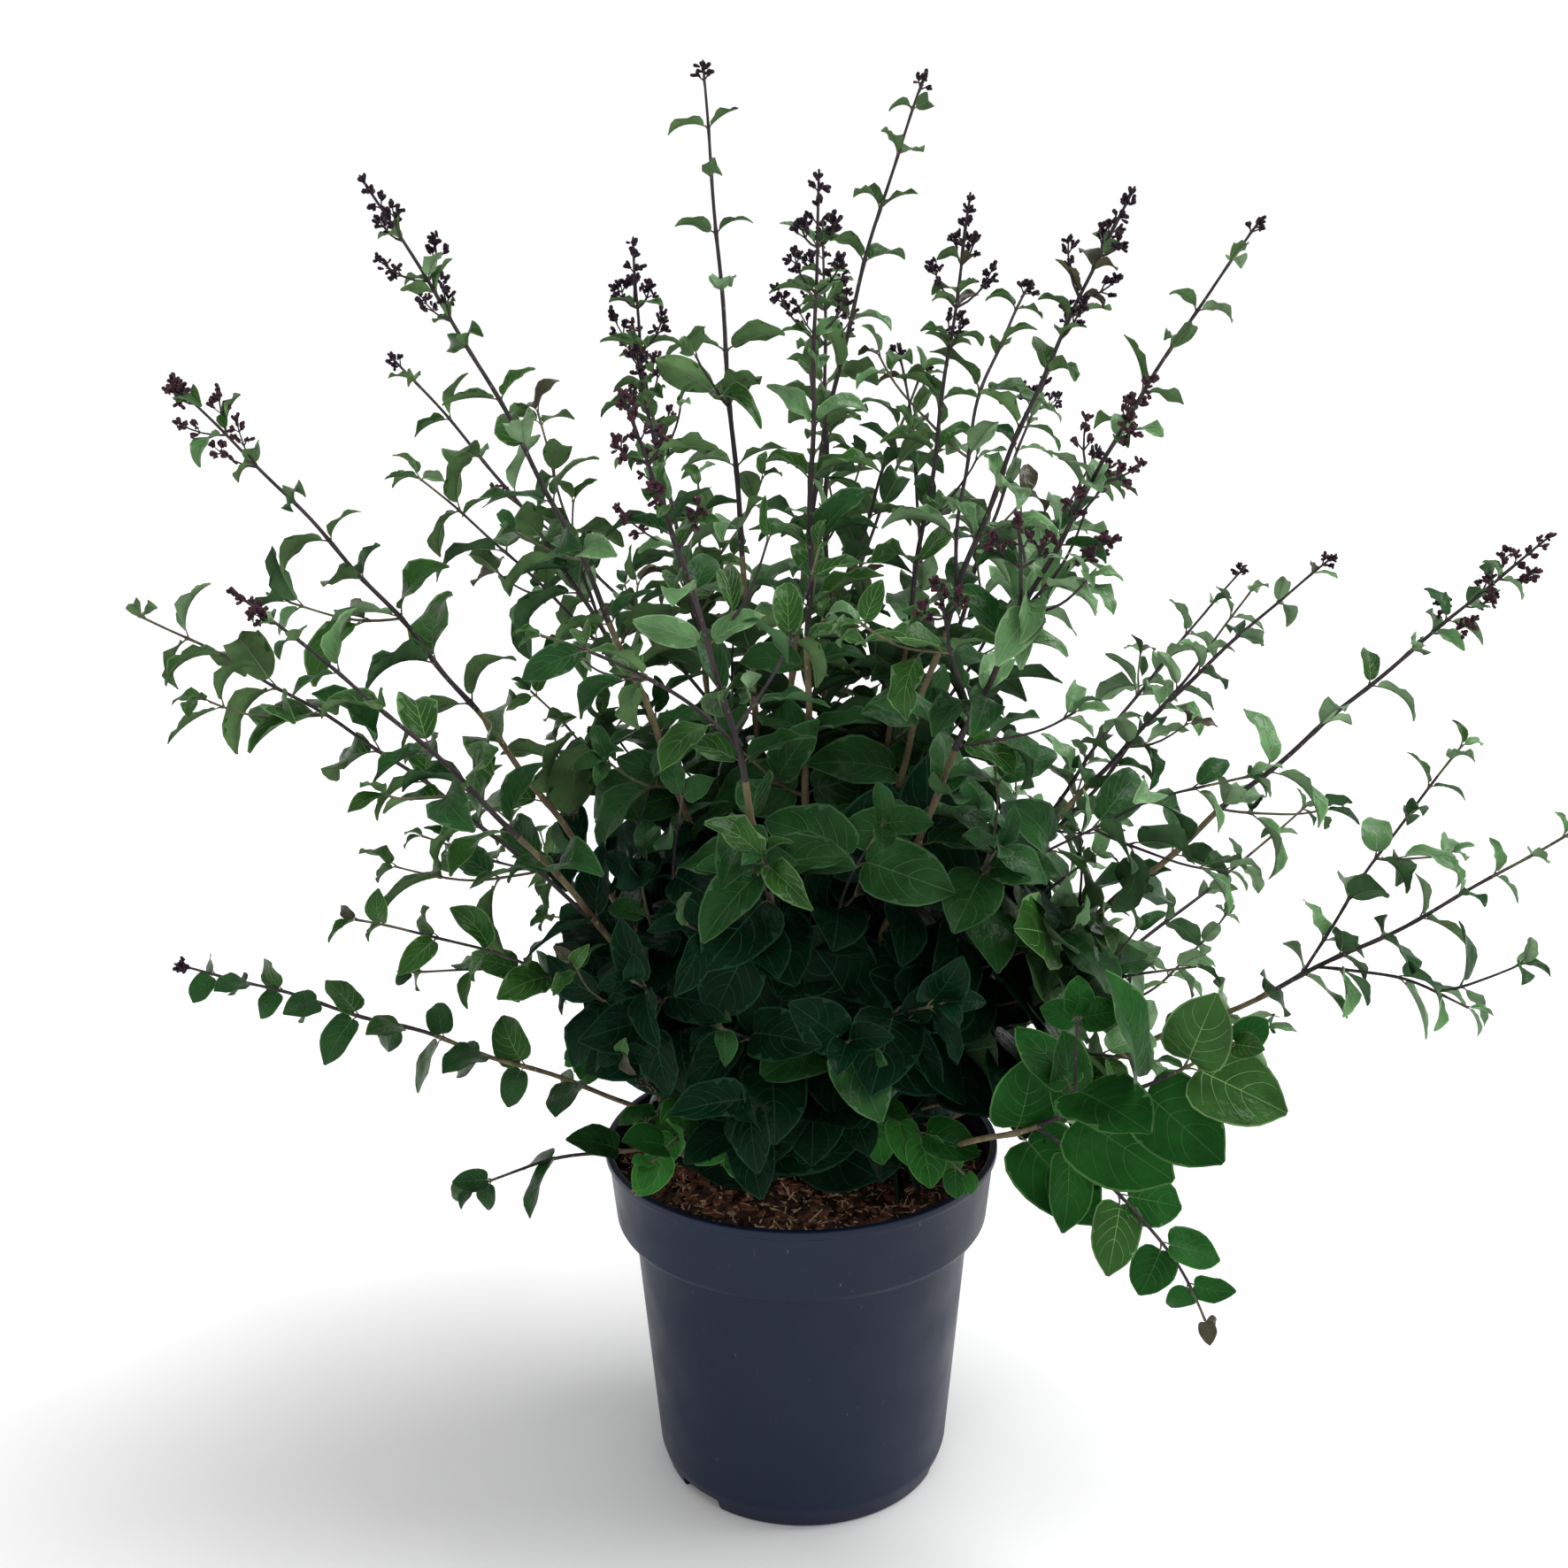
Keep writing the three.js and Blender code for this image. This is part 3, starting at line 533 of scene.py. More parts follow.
def bark_material(name, dark, light, speck, cracks):
    """Bark with long streaks, fine cracks and pale lenticels."""
    paint = Painter(name, light, 0.78)
    streaks = paint.noise(90, 6, paint.stretched((1, 1, 0.22)), 0.6)
    wood = paint.ramp(streaks, (0.34, dark), (0.62, light))
    spots = paint.cells(260, "F1", paint.stretched((1, 1, 0.55)))
    spots = paint.ramp(spots, (0.13, 1.0), (0.2, 0.0))
    paint.colour(paint.blend(spots, wood, speck))
    paint.bump(paint.noise(260, 5, paint.stretched((1, 1, 0.3))), cracks, 0.0012)
    paint.bump(spots, 0.35, 0.0005)
    return paint.material


def bud_material(name, dark, light):
    paint = Painter(name, light, 0.5, 0.15)
    paint.mottle(300, 2, (0.35, dark), (0.7, light))
    return paint.material


def pot_material():
    """Moulded plastic, satin where it is rubbed, with faint dust, scuffs and a grain."""
    base, dusty = (0.0055, 0.011, 0.031), (0.0095, 0.017, 0.042)
    paint = Painter("pot_plastic", base, 0.45, 0.22)
    clouds = paint.ramp(paint.noise(7, 4), (0.4, base), (0.9, dusty))
    grains = paint.noise(420, 2, paint.stretched((1, 1, 0.35)))
    scuffs = paint.ramp(grains, (0.74, 0.0), (0.8, 0.55))
    paint.colour(paint.blend(scuffs, clouds, (0.2, 0.21, 0.23)))
    rubbed = paint.ramp(paint.noise(24, 5), (0.3, 0.36), (0.7, 0.52))
    paint.links.new(rubbed, paint.shader["Roughness"])
    paint.bump(paint.noise(900, 2), 0.1, 0.0003)
    return paint.material


def soil_material(name, dark, light, roughness=0.95):
    paint = Painter(name, light, roughness, 0.2)
    paint.mottle(130, 4, (0.3, dark), (0.7, light))
    paint.bump(paint.noise(500, 5, paint.stretched((1, 1, 2))), 0.7, 0.0012)
    return paint.material


# ---- pot and soil
def wall_reach(height):
    """Outer reach of the pot's wall at a height."""
    heights = (0, POT_STEP_Z, BAND_FOOT_Z - 0.002, BAND_FOOT_Z + 0.002, POT_HEIGHT)
    reaches = (POT_FOOT_R, POT_STEP_R, POT_WAIST_R, BAND_FOOT_R, BAND_TOP_R)
    return float(np.interp(height, heights, reaches))


def rounded(profile, radius, steps=4):
    """A profile whose inner corners are rounded with short arcs."""
    profile = [np.array(p, float) for p in profile]
    out = [profile[0]]
    for before, corner, after in zip(profile, profile[1:], profile[2:]):
        back, on = before - corner, after - corner
        room = min(radius, 0.45 * np.linalg.norm(back), 0.45 * np.linalg.norm(on))
        start, end = corner + room * unit(back), corner + room * unit(on)
        for share in np.linspace(0, 1, steps):
            out.append((1 - share) ** 2 * start + 2 * share * (1 - share) * corner + share**2 * end)
    out.append(profile[-1])
    return out


def make_pot():
    top, wall = POT_HEIGHT, POT_WALL
    profile = [  # from the axis out and up, over the lip, and down the inside to the axis
        (AXIS_R, 0), (POT_FOOT_R - 0.0015, 0), (POT_FOOT_R, 0.0025), (POT_STEP_R, POT_STEP_Z),
        (POT_STEP_R + 0.0004, POT_STEP_Z + 0.002), (POT_WAIST_R, BAND_FOOT_Z - 0.006),
        (BAND_FOOT_R - 0.002, BAND_FOOT_Z - 0.0015), (BAND_FOOT_R, BAND_FOOT_Z + 0.002),
        (BAND_TOP_R, top - LIP_HEIGHT - 0.002), (LIP_R, top - LIP_HEIGHT), (LIP_R, top),
        (BAND_TOP_R - wall, top), (BAND_FOOT_R - wall, BAND_FOOT_Z + 0.001),
        (POT_WAIST_R - wall, BAND_FOOT_Z - 0.005), (POT_STEP_R - wall, POT_STEP_Z),
        (POT_FOOT_R - wall, POT_FLOOR_Z), (AXIS_R, POT_FLOOR_Z),
    ]
    shell = closed_shell(*shell_of(rounded(profile, POT_ROUND), POT_SEGMENTS), 0, POT_FLOOR_Z)
    pot = shell.piece("pot_shell", pot_material(), "pot", ["pot"])
    for bearing in DRAIN_BEARINGS:
        bpy.ops.mesh.primitive_cube_add(size=1)
        cutter = bpy.context.object
        cutter.scale = (2 * DRAIN_DEPTH, DRAIN_WIDTH, 2 * DRAIN_HEIGHT)
        cutter.rotation_euler[2] = radians(bearing)
        cutter.location = polar(bearing, POT_FOOT_R + 0.001, 0)
        bpy.ops.object.transform_apply(location=True, rotation=True, scale=True)
        soften = cutter.modifiers.new("soften", "BEVEL")
        soften.width, soften.segments = 0.002, 3
        cut = pot.modifiers.new("drain", "BOOLEAN")
        cut.operation, cut.object, cut.solver = "DIFFERENCE", cutter, "EXACT"
        bpy.context.view_layer.objects.active = pot
        bpy.ops.object.modifier_apply(modifier=cut.name)
        bpy.data.objects.remove(cutter)
    sharp = pot.modifiers.new("shade", "EDGE_SPLIT")
    sharp.split_angle = radians(SHARP_DEGREES)
    bpy.ops.object.modifier_apply(modifier=sharp.name)


def soil_bumps(x, y):
    """Height of the loose soil above its level, in metres."""
    bumps = (0.0022 * np.sin(61 * x + 1.3) * np.sin(53 * y + 0.4)
             + 0.0012 * np.sin(171 * x + 2.1) * np.sin(157 * y + 1.7)
             + 0.0007 * np.sin(431 * x + 0.2) * np.sin(397 * y + 2.6))
    reach = np.hypot(x, y)
    return (bumps + 0.003 * np.clip((reach - 0.105) / 0.025, 0, 1) ** 2
            + MOUND * np.clip((0.085 - reach) / 0.04, 0, 1) ** 0.7)


SOIL_SHADES = {
    "red": ((0.06, 0.024, 0.014), (0.36, 0.155, 0.095)),
    "dark": ((0.016, 0.011, 0.0085), (0.1, 0.056, 0.038)),
    "tan": ((0.45, 0.28, 0.15), (1.0, 0.74, 0.48)),
}
BOX = np.array([[x, y, z] for z in (-1, 1) for y in (-1, 1) for x in (-1, 1)], float) / 2
BOX_FACES = np.array([[0, 2, 3, 1], [4, 5, 7, 6], [0, 1, 5, 4],
                      [2, 6, 7, 3], [0, 4, 6, 2], [1, 3, 7, 5]])


def add_chip(kinds, sliver, rng):
    """A flat chip of bark or a thin sliver of wood, laid on the soil."""
    reach = SOIL_EDGE_R * 0.985 * sqrt(rng.uniform(0.1, 1))
    size = [rng.uniform(*span) for span in (SLIVER_SIZES if sliver else CHIP_SIZES)]
    reach = min(reach, SOIL_EDGE_R - size[0] * 0.45)
    x, y, _ = polar(rng.uniform(0, 360), reach, 0)
    corners = BOX * size * rng.uniform(0.55, 1.1, (8, 1 if sliver else 3))
    tilt, roll = rng.normal(0, 0.3 if sliver else 0.22), rng.normal(0, 0.25)
    turn = Matrix.Rotation(rng.uniform(0, 2 * pi), 3, "Z")
    turn = turn @ Matrix.Rotation(tilt, 3, "Y") @ Matrix.Rotation(roll, 3, "X")
    lift = SOIL_Z - SOIL_SINK + float(soil_bumps(x, y)) + size[2] * 0.5
    lift += abs(sin(tilt)) * size[0] * 0.3
    place = np.array([x, y, lift + rng.uniform(0, 0.002) + (0.0012 if sliver else 0)])
    shade = "tan" if sliver or rng.uniform() < 0.01 else "red" if rng.uniform() < 0.55 else "dark"
    kinds[shade].add(corners @ np.array(turn).T + place, BOX_FACES)


def make_soil(rng):
    profile = [
        (POT_FOOT_R - 0.0062, SOIL_FOOT_Z), (POT_STEP_R - 0.005, POT_STEP_Z + 0.002),
        (POT_WAIST_R - 0.005, BAND_FOOT_Z - 0.003), (BAND_FOOT_R - 0.0045, BAND_FOOT_Z + 0.004),
    ]
    side = len(profile)
    profile += [(reach, SOIL_Z) for reach in np.linspace(0.004, SOIL_EDGE_R, SOIL_RINGS)[::-1]]
    points, faces = shell_of(profile, SOIL_SEGMENTS)
    top = points[side:]
    top[..., 2] = SOIL_Z - SOIL_SINK + soil_bumps(top[..., 0], top[..., 1])
    earth = soil_material("soil_earth", (0.01, 0.006, 0.004), (0.05, 0.026, 0.017))
    closed_shell(points, faces, SOIL_FOOT_Z, SOIL_Z).piece("soil_bed", earth, "soil", ["soil"])
    kinds = {name: Kind() for name in SOIL_SHADES}
    for i in range(CHIPS + SLIVERS):
        add_chip(kinds, i >= CHIPS, rng)
    for name, tones in SOIL_SHADES.items():
        bark = soil_material(f"soil_{name}", *tones, 0.85)
        kinds[name].piece(f"soil_bark_{name}", bark, "soil", smooth=False)


# ---- growth
def stem_feet():
    """Bearings of the stems' feet: those on one ring are pushed apart until each has room."""
    feet = {name: float(row[1]) for name, row in STEMS.items()}
    for ring, reach in enumerate(FOOT_RINGS):
        names = sorted((n for n, row in STEMS.items() if row[0] == ring), key=lambda n: STEMS[n][1])
        least = degrees(FOOT_SPACING / reach)
        for _ in range(FOOT_PUSHES):
            for i, name in enumerate(names):
                after = names[(i + 1) % len(names)]
                apart = feet[after] - feet[name] + (360 if i + 1 == len(names) else 0)
                if apart < least:
                    feet[name] -= (least - apart) / 2
                    feet[after] += (least - apart) / 2
    return feet


NEAR = [(a, b, c) for a in (-1, 0, 1) for b in (-1, 0, 1) for c in (-1, 0, 1)]


class Room:
    """Where leaves already are, as sample points in a grid of small cells."""

    def __init__(self, size):
        self.size, self.cells = size, {}

    def keys(self, points):
        return [tuple(k) for k in np.floor(points / self.size).astype(int)]

    def hits(self, points, owner):
        found = 0
        for point, (i, j, k) in zip(points, self.keys(points)):
            for a, b, c in NEAR:
                for other, who in self.cells.get((i + a, j + b, k + c), ()):
                    if who != owner and np.sum((other - point) ** 2) < self.size**2:
                        found += 1
                        break
        return found

    def fill(self, points, owner):
        for point, key in zip(points, self.keys(points)):
            self.cells.setdefault(key, []).append((point, owner))


# Share along the blade, then half width there of a round low leaf and of a slender high one.
OUTLINE = np.array([
    (0, 0.04, 0.03), (0.012, 0.42, 0.2), (0.05, 0.72, 0.43), (0.13, 0.93, 0.7), (0.25, 1, 0.91),
    (0.39, 0.985, 1), (0.53, 0.92, 0.95), (0.66, 0.79, 0.8), (0.78, 0.6, 0.57), (0.88, 0.35, 0.32),
    (0.95, 0.14, 0.12), (1, 0.012, 0.012)])
ALONG_BLADE = OUTLINE[:, 0]
ACROSS = np.array([-1, -0.55, 0, 0.55, 1])
SIDE_VEINS = ((0.04, 0.2), (0.14, 0.42), (0.29, 0.63), (0.47, 0.81))  # where they start and end
LOBE = 0.13  # how far the base of the blade swings back beside the stalk
RULE_LEAF = 0.06  # length of the leaf whose rim and veins have these widths
# the underside juts this far past the face at the margin: a pale outline, partly the underside's
# paler tone, partly a painted edge highlight
RIM = 0.0015
RIB = (0.0005, 0.00018)  # half widths of the midrib at foot and end
SIDE_RIB = (0.0003, 0.00012)
SIDE_REACH = 0.86  # how far a side vein runs towards the rim
VEIN_LIFT = 0.0002
BLADE_THICK = 0.0003


class Leaves:
    """Rows of leaves of one shade, all shaped at once."""

    def __init__(self):
        self.rows = []

    def add(self, base, along, normal, length, low, rng):
        """low is 0 for a slender arching leaf high up, and 1 for a round hanging one."""
        self.rows.append(np.concatenate([base, along, normal, [
            length,
            length * mix(0.54, 0.82, low) * rng.uniform(0.88, 1.08),
            mix(rng.uniform(0.6, 1.6), rng.uniform(0.1, 0.55), low),  # bend along the midrib
            mix(rng.uniform(0.35, 1.05), rng.uniform(0, 0.35), low),  # fold across it
            mix(rng.uniform(0.06, 0.14), rng.uniform(0.015, 0.045), low),  # waves of the margin
            rng.uniform(0, 1),
            rng.uniform(1.2, 2.3),
            mix(0.7, 0.25, low) * rng.uniform(-1, 1),  # twist
            low,
        ]]))

    def grid(self):
        """Points of every blade, by leaf, row and column, and the normal of each leaf there."""
        row = np.array(self.rows)[:, None, None]
        base, along, normal = row[..., 0:3], row[..., 3:6], row[..., 6:9]
        length, width, bend, fold, wave, phase, pace, twist, low = np.moveaxis(row[..., 9:], -1, 0)
        side = np.cross(normal, along)
        t, round_half, slender_half = (OUTLINE[:, i][None, :, None] for i in range(3))
        half = mix(slender_half, round_half, low)
        s = ACROSS[None, None, :]
        angle = bend * t
        lobe = LOBE * low * half**0.7 * np.abs(s) ** 1.5 * (1 - t) ** 6
        run = length * (t * (1 - angle**2 / 6) - lobe)
        drop = -length * bend * t**2 / 2 * (1 - angle**2 / 12)
        out = width / 2 * half * s
        rise = np.abs(out) * np.sin(fold) * (1 - 0.35 * np.abs(s))
        swing = np.sin(2 * pi * (pace * t + phase + 0.2 * np.sign(s)))
        rise = rise + width * wave * s**2 * half * swing
        out = out * np.cos(fold)
        ahead, up = np.cos(twist * t), np.sin(twist * t)
        out, rise = out * ahead - rise * up, out * up + rise * ahead
        points = (base + along * (run + rise * np.sin(angle))[..., None] + side * out[..., None]
                  + normal * (drop + rise * np.cos(angle))[..., None])
        facing = normal * np.cos(angle)[..., None] + along * np.sin(angle)[..., None]
        return points, np.broadcast_to(facing, points.shape), length[:, 0, 0]


def rib_widths(shares, ends, length):
    """Half widths along a vein of every leaf, in step with the leaf's length."""
    return np.interp(shares, (0, 1), ends)[None] * (length / RULE_LEAF)[:, None]


def add_ribbons(kind, grid, facing, ts, ss, half_widths, lift):
    """Flat ribbons on every blade of a grid, along the shares ts and ss; lift is above the face."""
    row_at = np.interp(ts, ALONG_BLADE, range(len(OUTLINE)))
    column_at = np.interp(ss, ACROSS, range(len(ACROSS)))
    r0 = np.minimum(row_at.astype(int), len(OUTLINE) - 2)
    c0 = np.minimum(column_at.astype(int), len(ACROSS) - 2)
    fr, fc = (row_at - r0)[:, None], (column_at - c0)[:, None]

    def at(values):
        first, last = values[:, r0, c0], values[:, r0 + 1, c0 + 1]
        across, ahead = values[:, r0, c0 + 1], values[:, r0 + 1, c0]
        return np.where(fc >= fr, first + fc * (across - first) + fr * (last - across),
                        first + fr * (ahead - first) + fc * (last - ahead))

    centre, up = at(grid), unit(at(facing))
    along = unit(np.gradient(centre, axis=1))
    side = unit(np.cross(up, along)) * half_widths[:, :, None]
    centre = centre + up * lift
    points = np.stack([centre - side, centre + side], 2)
    count, steps = points.shape[:2]
    faces = grid_faces(steps, 2)[None] + (np.arange(count) * steps * 2)[:, None, None]
    faces = faces.reshape(-1, 4)
    kind.add(points, faces[:, ::-1] if lift > 0 else faces)


# The turn and the size of each try for a free place of a leaf; the points it is tried with, which
# lie along its midrib and at both sides; and how far they sag.
LEAF_TRIES = ((0, 1), (0.45, 0.97), (-0.45, 0.97), (0.9, 0.9), (-0.9, 0.9))
SPOT_SHARES = np.array([[0.15], [0.4], [0.65], [0.95]])
SPOT_SIDE = 0.22
SPOT_SAG = np.array([0, 0.3, 0.7, 1.4, 0.3, 0.7, 0.3, 0.7])


class Bush:
    """Grows limbs, twigs, leaves and buds, each kept by kind until the pieces are made."""

    def __init__(self):
        self.rng = np.random.default_rng(SEED)
        self.wood = {name: Kind() for name in ("old", "young", "green")}
        self.leaves = {name: Leaves() for name in SHADES}
        self.buds = {name: Kind() for name in BUD_SKINS}
        self.dry = Kind()
        self.room = Room(LEAF_ROOM)
        self.pairs = 0

    # -- wood
    def limb(self, curve, start_r, end_r, shares, kind, sides, nodes=(), step=0.007, flare=0.0):
        """One stretch of a limb, swollen at its nodes; flare widens its foot."""
        count = max(3, int(curve.length * (shares[1] - shares[0]) / step) + 1)
        at = np.linspace(*shares, count)
        radii = mix(start_r, end_r, at**TAPER)
        for node in nodes:
            away = (at - node) * curve.length / NODE_LENGTH
            radii = radii * (1 + NODE_SWELL * np.exp(-(away**2)))
        radii = radii + flare * start_r * np.exp(-at * curve.length / FLARE_LENGTH)
        least, most = (0.93, 1.07) if sides >= 8 else (0.96, 1.04)
        relief = self.rng.uniform(least, most, (count, sides))
        add_tube(self.wood[kind], curve.point(at), radii[:, None] * relief, sides, shares[1] >= 1)

    def grow(self, curve, start_r, leafy_from, bloom, spray, foot=False):
        """A stem or shoot with everything on it."""
        bare_end = BLOOMS[bloom][0] / curve.length
        nodes = self.leaf_pairs(curve, leafy_from, 1 - bare_end, spray, last=bloom == 0)
        if foot:
            old = (0, OLD_BARK_TOP)
            self.limb(curve, start_r, TIP_R, old, "old", 10, nodes, flare=0.5)
            self.limb(curve, start_r, TIP_R, (OLD_BARK_TOP, YOUNG_BARK_TOP), "young", 7, nodes)
        else:
            self.limb(curve, start_r, TIP_R, (0, YOUNG_BARK_TOP), "young", 6, nodes)
        last = "young" if bloom else "green"
        self.limb(curve, start_r, TIP_R, (YOUNG_BARK_TOP, 1), last, 5, nodes)
        self.side_twigs(curve, leafy_from, start_r, spray, nodes)
        if bloom:
            self.blossom(curve, bloom, spray)

    def side_twigs(self, curve, leafy_from, start_r, spray, nodes):
        rng = self.rng
        share = leafy_from + rng.uniform(0.1, 0.9) * TWIG_GAP_HEART / curve.length
        while share < TWIG_END:
            at = nodes[int(np.argmin(np.abs(np.array(nodes) - share)))]
            start, along = curve.point(at), curve.along(at)
            crowded = heart(start)
            share += mix(TWIG_GAP, TWIG_GAP_HEART, crowded) * rng.uniform(0.75, 1.25) / curve.length
            length = mix(TWIG_LONG, TWIG_SHORT, at) * rng.uniform(0.75, 1.25)
            out = outwards(along, rng.uniform(0, 2 * pi))
            tip = start + along * length * TWIG_LEAN[0] + out * length * TWIG_LEAN[1]
            if not in_the_open(tip[None], 0.008, False):
                continue
            if crowded < 0.1 and start[2] < HIGH_FROM:
                continue
            twig = Curve(start, tip, -length * 0.06, 0, rng)
            twig_r = max(mix(start_r, TIP_R, at) * 0.55, TIP_R * 1.2)
            pairs = self.leaf_pairs(twig, 0.28, 0.99, spray, last=True)
            bark = "young" if rng.uniform() < 0.5 else "green"
            self.limb(twig, twig_r, TIP_R * 0.8, (0, 1), bark, 5, pairs)

    # -- leaves
    def leaf_pairs(self, curve, start, end, spray, last=True):
        rng, own = self.rng, SPRAYS.get(spray, {})
        turn = rng.uniform(0, pi)
        nodes, share = [], start
        while share < end:
            nodes.append(share)
            node = curve.point(share)
            tipward = (share - start) / (end - start)
            turn += pi / 2 + rng.uniform(-0.25, 0.25)
            if "side" in own:
                turn = rng.uniform(-0.35, 0.35)
            self.pairs += 1
            for half in (0, pi):
                self.leaf(curve, share, tipward, turn + half, spray)
            gap = mix(PAIR_GAP, PAIR_GAP_HEART, heart(node)) * mix(1.12, 0.65, tipward)
            gap *= rng.uniform(0.85, 1.15)
            share += gap * own.get("gap", 1) / curve.length
        if last:
            nodes.append(LAST_PAIR)
            for half in (0, pi):
                self.leaf(curve, LAST_PAIR, 1.0, turn + pi / 2 + half, spray, tip=True)
        return nodes

    def leaf(self, curve, share, tipward, turn, spray, tip=False):
        """A leaf in the freest of a few places, or none where all are taken."""
        best = None
        for swing, shrink in LEAF_TRIES:
            node, base, along, normal, size, low = self.leaf_shape(
                curve, share, tipward, turn + swing, spray, tip)
            size *= shrink
            side = np.cross(normal, along) * size * SPOT_SIDE
            spots = base + along * size * SPOT_SHARES
            spots = np.concatenate([spots, spots[1:3] + side, spots[1:3] - side])
            spots[:, 2] -= size * 0.1 * SPOT_SAG
            if not in_the_open(spots, 0.006, spray in OVER_RIM):
                continue
            hits = self.room.hits(spots, self.pairs)
            if best is None or hits < best[0]:
                best = (hits, node, base, along, normal, size, low, spots)
            if hits == 0:
                break
        if best is None or best[0] > mix(2, 0.4, heart(best[1])):
            return
        _, node, base, along, normal, size, low, spots = best
        self.room.fill(spots, self.pairs)
        shade = shade_of(node, tipward, spray, self.rng)
        self.leaves[shade].add(base, along, normal, size, low, self.rng)
        middle = (node + base) / 2 + np.array([0, 0, 0.0006])
        stalk = [node, middle, base + along * size * 0.03]
        add_tube(self.wood["green"], stalk, STALK_R * (0.7 + size / 0.1), 4)

    def leaf_shape(self, curve, share, tipward, turn, spray, tip):
        """Foot of its stalk and blade, direction, normal, length, and how low it counts."""
        rng, own = self.rng, SPRAYS.get(spray, {})
        node, along = curve.point(share), curve.along(share)
        out = outwards(along, turn, own.get("side"))
        low = heart(node)
        high = float(np.clip((node[2] - HIGH_FROM) / HIGH_FADE, 0, 1))
        size = mix(mix(LEAF_LOW, LEAF_HIGH, high), LEAF_HEART, low)
        small_from = own.get("small_from", 0.6)
        size = own.get("leaf", size) * rng.uniform(0.75, 1.12)
        smaller = np.clip((tipward - small_from) / (1 - small_from), 0, 1)
        size *= mix(1, own.get("tip_share", LEAF_TIP_SHARE), smaller)
        low = max(low, own.get("round", 0.4 * (1 - high)))
        hang = own.get("hang", mix(-0.05, 0.9, low))
        open_angle = rng.uniform(0.65, 1.15) * (0.6 if tip else 1)
        reach = along * cos(open_angle) + out * sin(open_angle)
        stalk = unit(reach + along * 0.25) * size * STALK_SHARE
        reach = unit(reach - UP * hang * rng.uniform(0.4, 1) * (0.4 if tip else 1))
        outward = unit(np.array([node[0], node[1], 0.0]))
        facing = UP + outward * mix(0.45, 1.4, low)
        if "facing" in own:
            facing = np.array(own["facing"]) + rng.normal(0, 0.45, 3)
        normal = square_to(reach, facing + out * rng.uniform(-0.5, 0.5))
        normal = turned_about(normal, reach, rng.normal(0, mix(0.34, 0.24, low)))
        return node + out * 0.0004, node + stalk, reach, normal, size, low

    # -- buds
    def bud(self, base, along, size, kind):
        """A small club-shaped flower bud."""
        hint = square_to(along, np.array([0.3, 0.5, 0.8]))
        beside = np.cross(along, hint)
        angles = np.arange(4) * pi / 2
        ring = hint * np.cos(angles)[:, None] + beside * np.sin(angles)[:, None]
        points = [base + along * size * at + ring * BUD_R * reach * size / BUD_LENGTH
                  for at, reach in BUD_PROFILE]
        points = np.concatenate([*points, [base + along * size * 1.02]])
        kind.add(points, grid_faces(3, 4, wrap=True), fan(8 + np.arange(4), 12))

    def panicle(self, axis, stalk_share, buds, wood):
        """Small knots of buds on short opposite branchlets along an axis, thickest at its end."""
        rng = self.rng
        add_tube(wood, axis.point(np.linspace(0, 1, 5)), np.linspace(0.0009, 0.0005, 5), 4)
        levels = max(2, int(axis.length * (1 - stalk_share) / BRANCHLET_GAP))
        turn = rng.uniform(0, pi)
        for level in range(levels):
            share = mix(stalk_share, 0.94, (level + 0.4) / levels)
            turn += pi / 2
            for half in (0, pi):
                along = axis.along(share)
                out = outwards(along, turn + half, (0.2, 0.3, 0.9))
                length = mix(0.006, 0.0025, level / levels) * rng.uniform(0.5, 1.2)
                start = axis.point(share)
                lean = unit(along + out * 0.9)
                end = start + lean * length
                add_tube(wood, [start, (start + end) / 2, end], [0.0006, 0.0005, 0.0005], 4)
                self.bud_knot(end, lean, rng.integers(3, 7), buds)
        self.bud_knot(axis.point(1.0), axis.along(1.0), 6, buds)

    def bud_knot(self, place, lean, count, buds):
        rng = self.rng
        for _ in range(count):
            aim = unit(lean + rng.normal(0, 0.55, 3))
            foot = place - aim * 0.0004 + rng.normal(0, 0.0008, 3)
            self.bud(foot, aim, BUD_LENGTH * rng.uniform(0.75, 1.2), buds)

    def blossom(self, curve, bloom, spray):
        """A panicle that ends at the tip, and pairs beside it from the axils of small leaves."""
        rng = self.rng
        buds = self.buds["purple" if spray in PURPLE_SPRAYS else "black"]
        _, length, pairs = BLOOMS[bloom]
        tip, along = curve.point(1.0), curve.along(1.0)
        main = Curve(tip - along * length, tip - along * BUD_LENGTH, 0, 0, rng, 0.0006)
        self.panicle(main, 0.15, buds, self.wood["young"])
        for pair in range(pairs):
            share = 1 - (length * 1.1 + PANICLE_GAP * pair) / curve.length
            start, along = curve.point(share), curve.along(share)
            turn = rng.uniform(0, 0.8) + pair * pi / 2
            self.pairs += 1
            for half in (0, pi):
                aim = unit(along + outwards(along, turn + half) * 0.8)
                reach = SIDE_PANICLES[pair] * rng.uniform(0.8, 1.15)
                side = Curve(start, start + aim * reach, -0.003, 0, rng, 0.0006)
                self.panicle(side, 0.42, buds, self.wood["young"])
                self.leaf(curve, share, 0.97, turn + half, spray)

    def dry_twig(self, foot, tip):
        """A thin dead twig with the husks of last year's seed on it."""
        twig = Curve(foot, tip, 0.004, 0.003, self.rng, 0.002)
        add_tube(self.dry, twig.point(np.linspace(0, 1, 9)), np.linspace(0.0011, 0.0006, 9), 5)
        self.panicle(Curve(twig.point(0.45), tip, 0, 0, self.rng, 0.002), 0.3, self.dry, self.dry)


def heart(point):
    """1 deep in the bush, where leaves are large and hang and get the painted shade of the dark
    tone; 0 in its outer and upper parts.
    """
    below = np.clip((HEART_TOP - point[2]) / HEART_TOP_FADE, 0, 1)
    within = np.clip(1 - (hypot(point[0] - HEART_X, point[1]) - HEART_R) / HEART_R_FADE, 0, 1)
    return float(below * within)


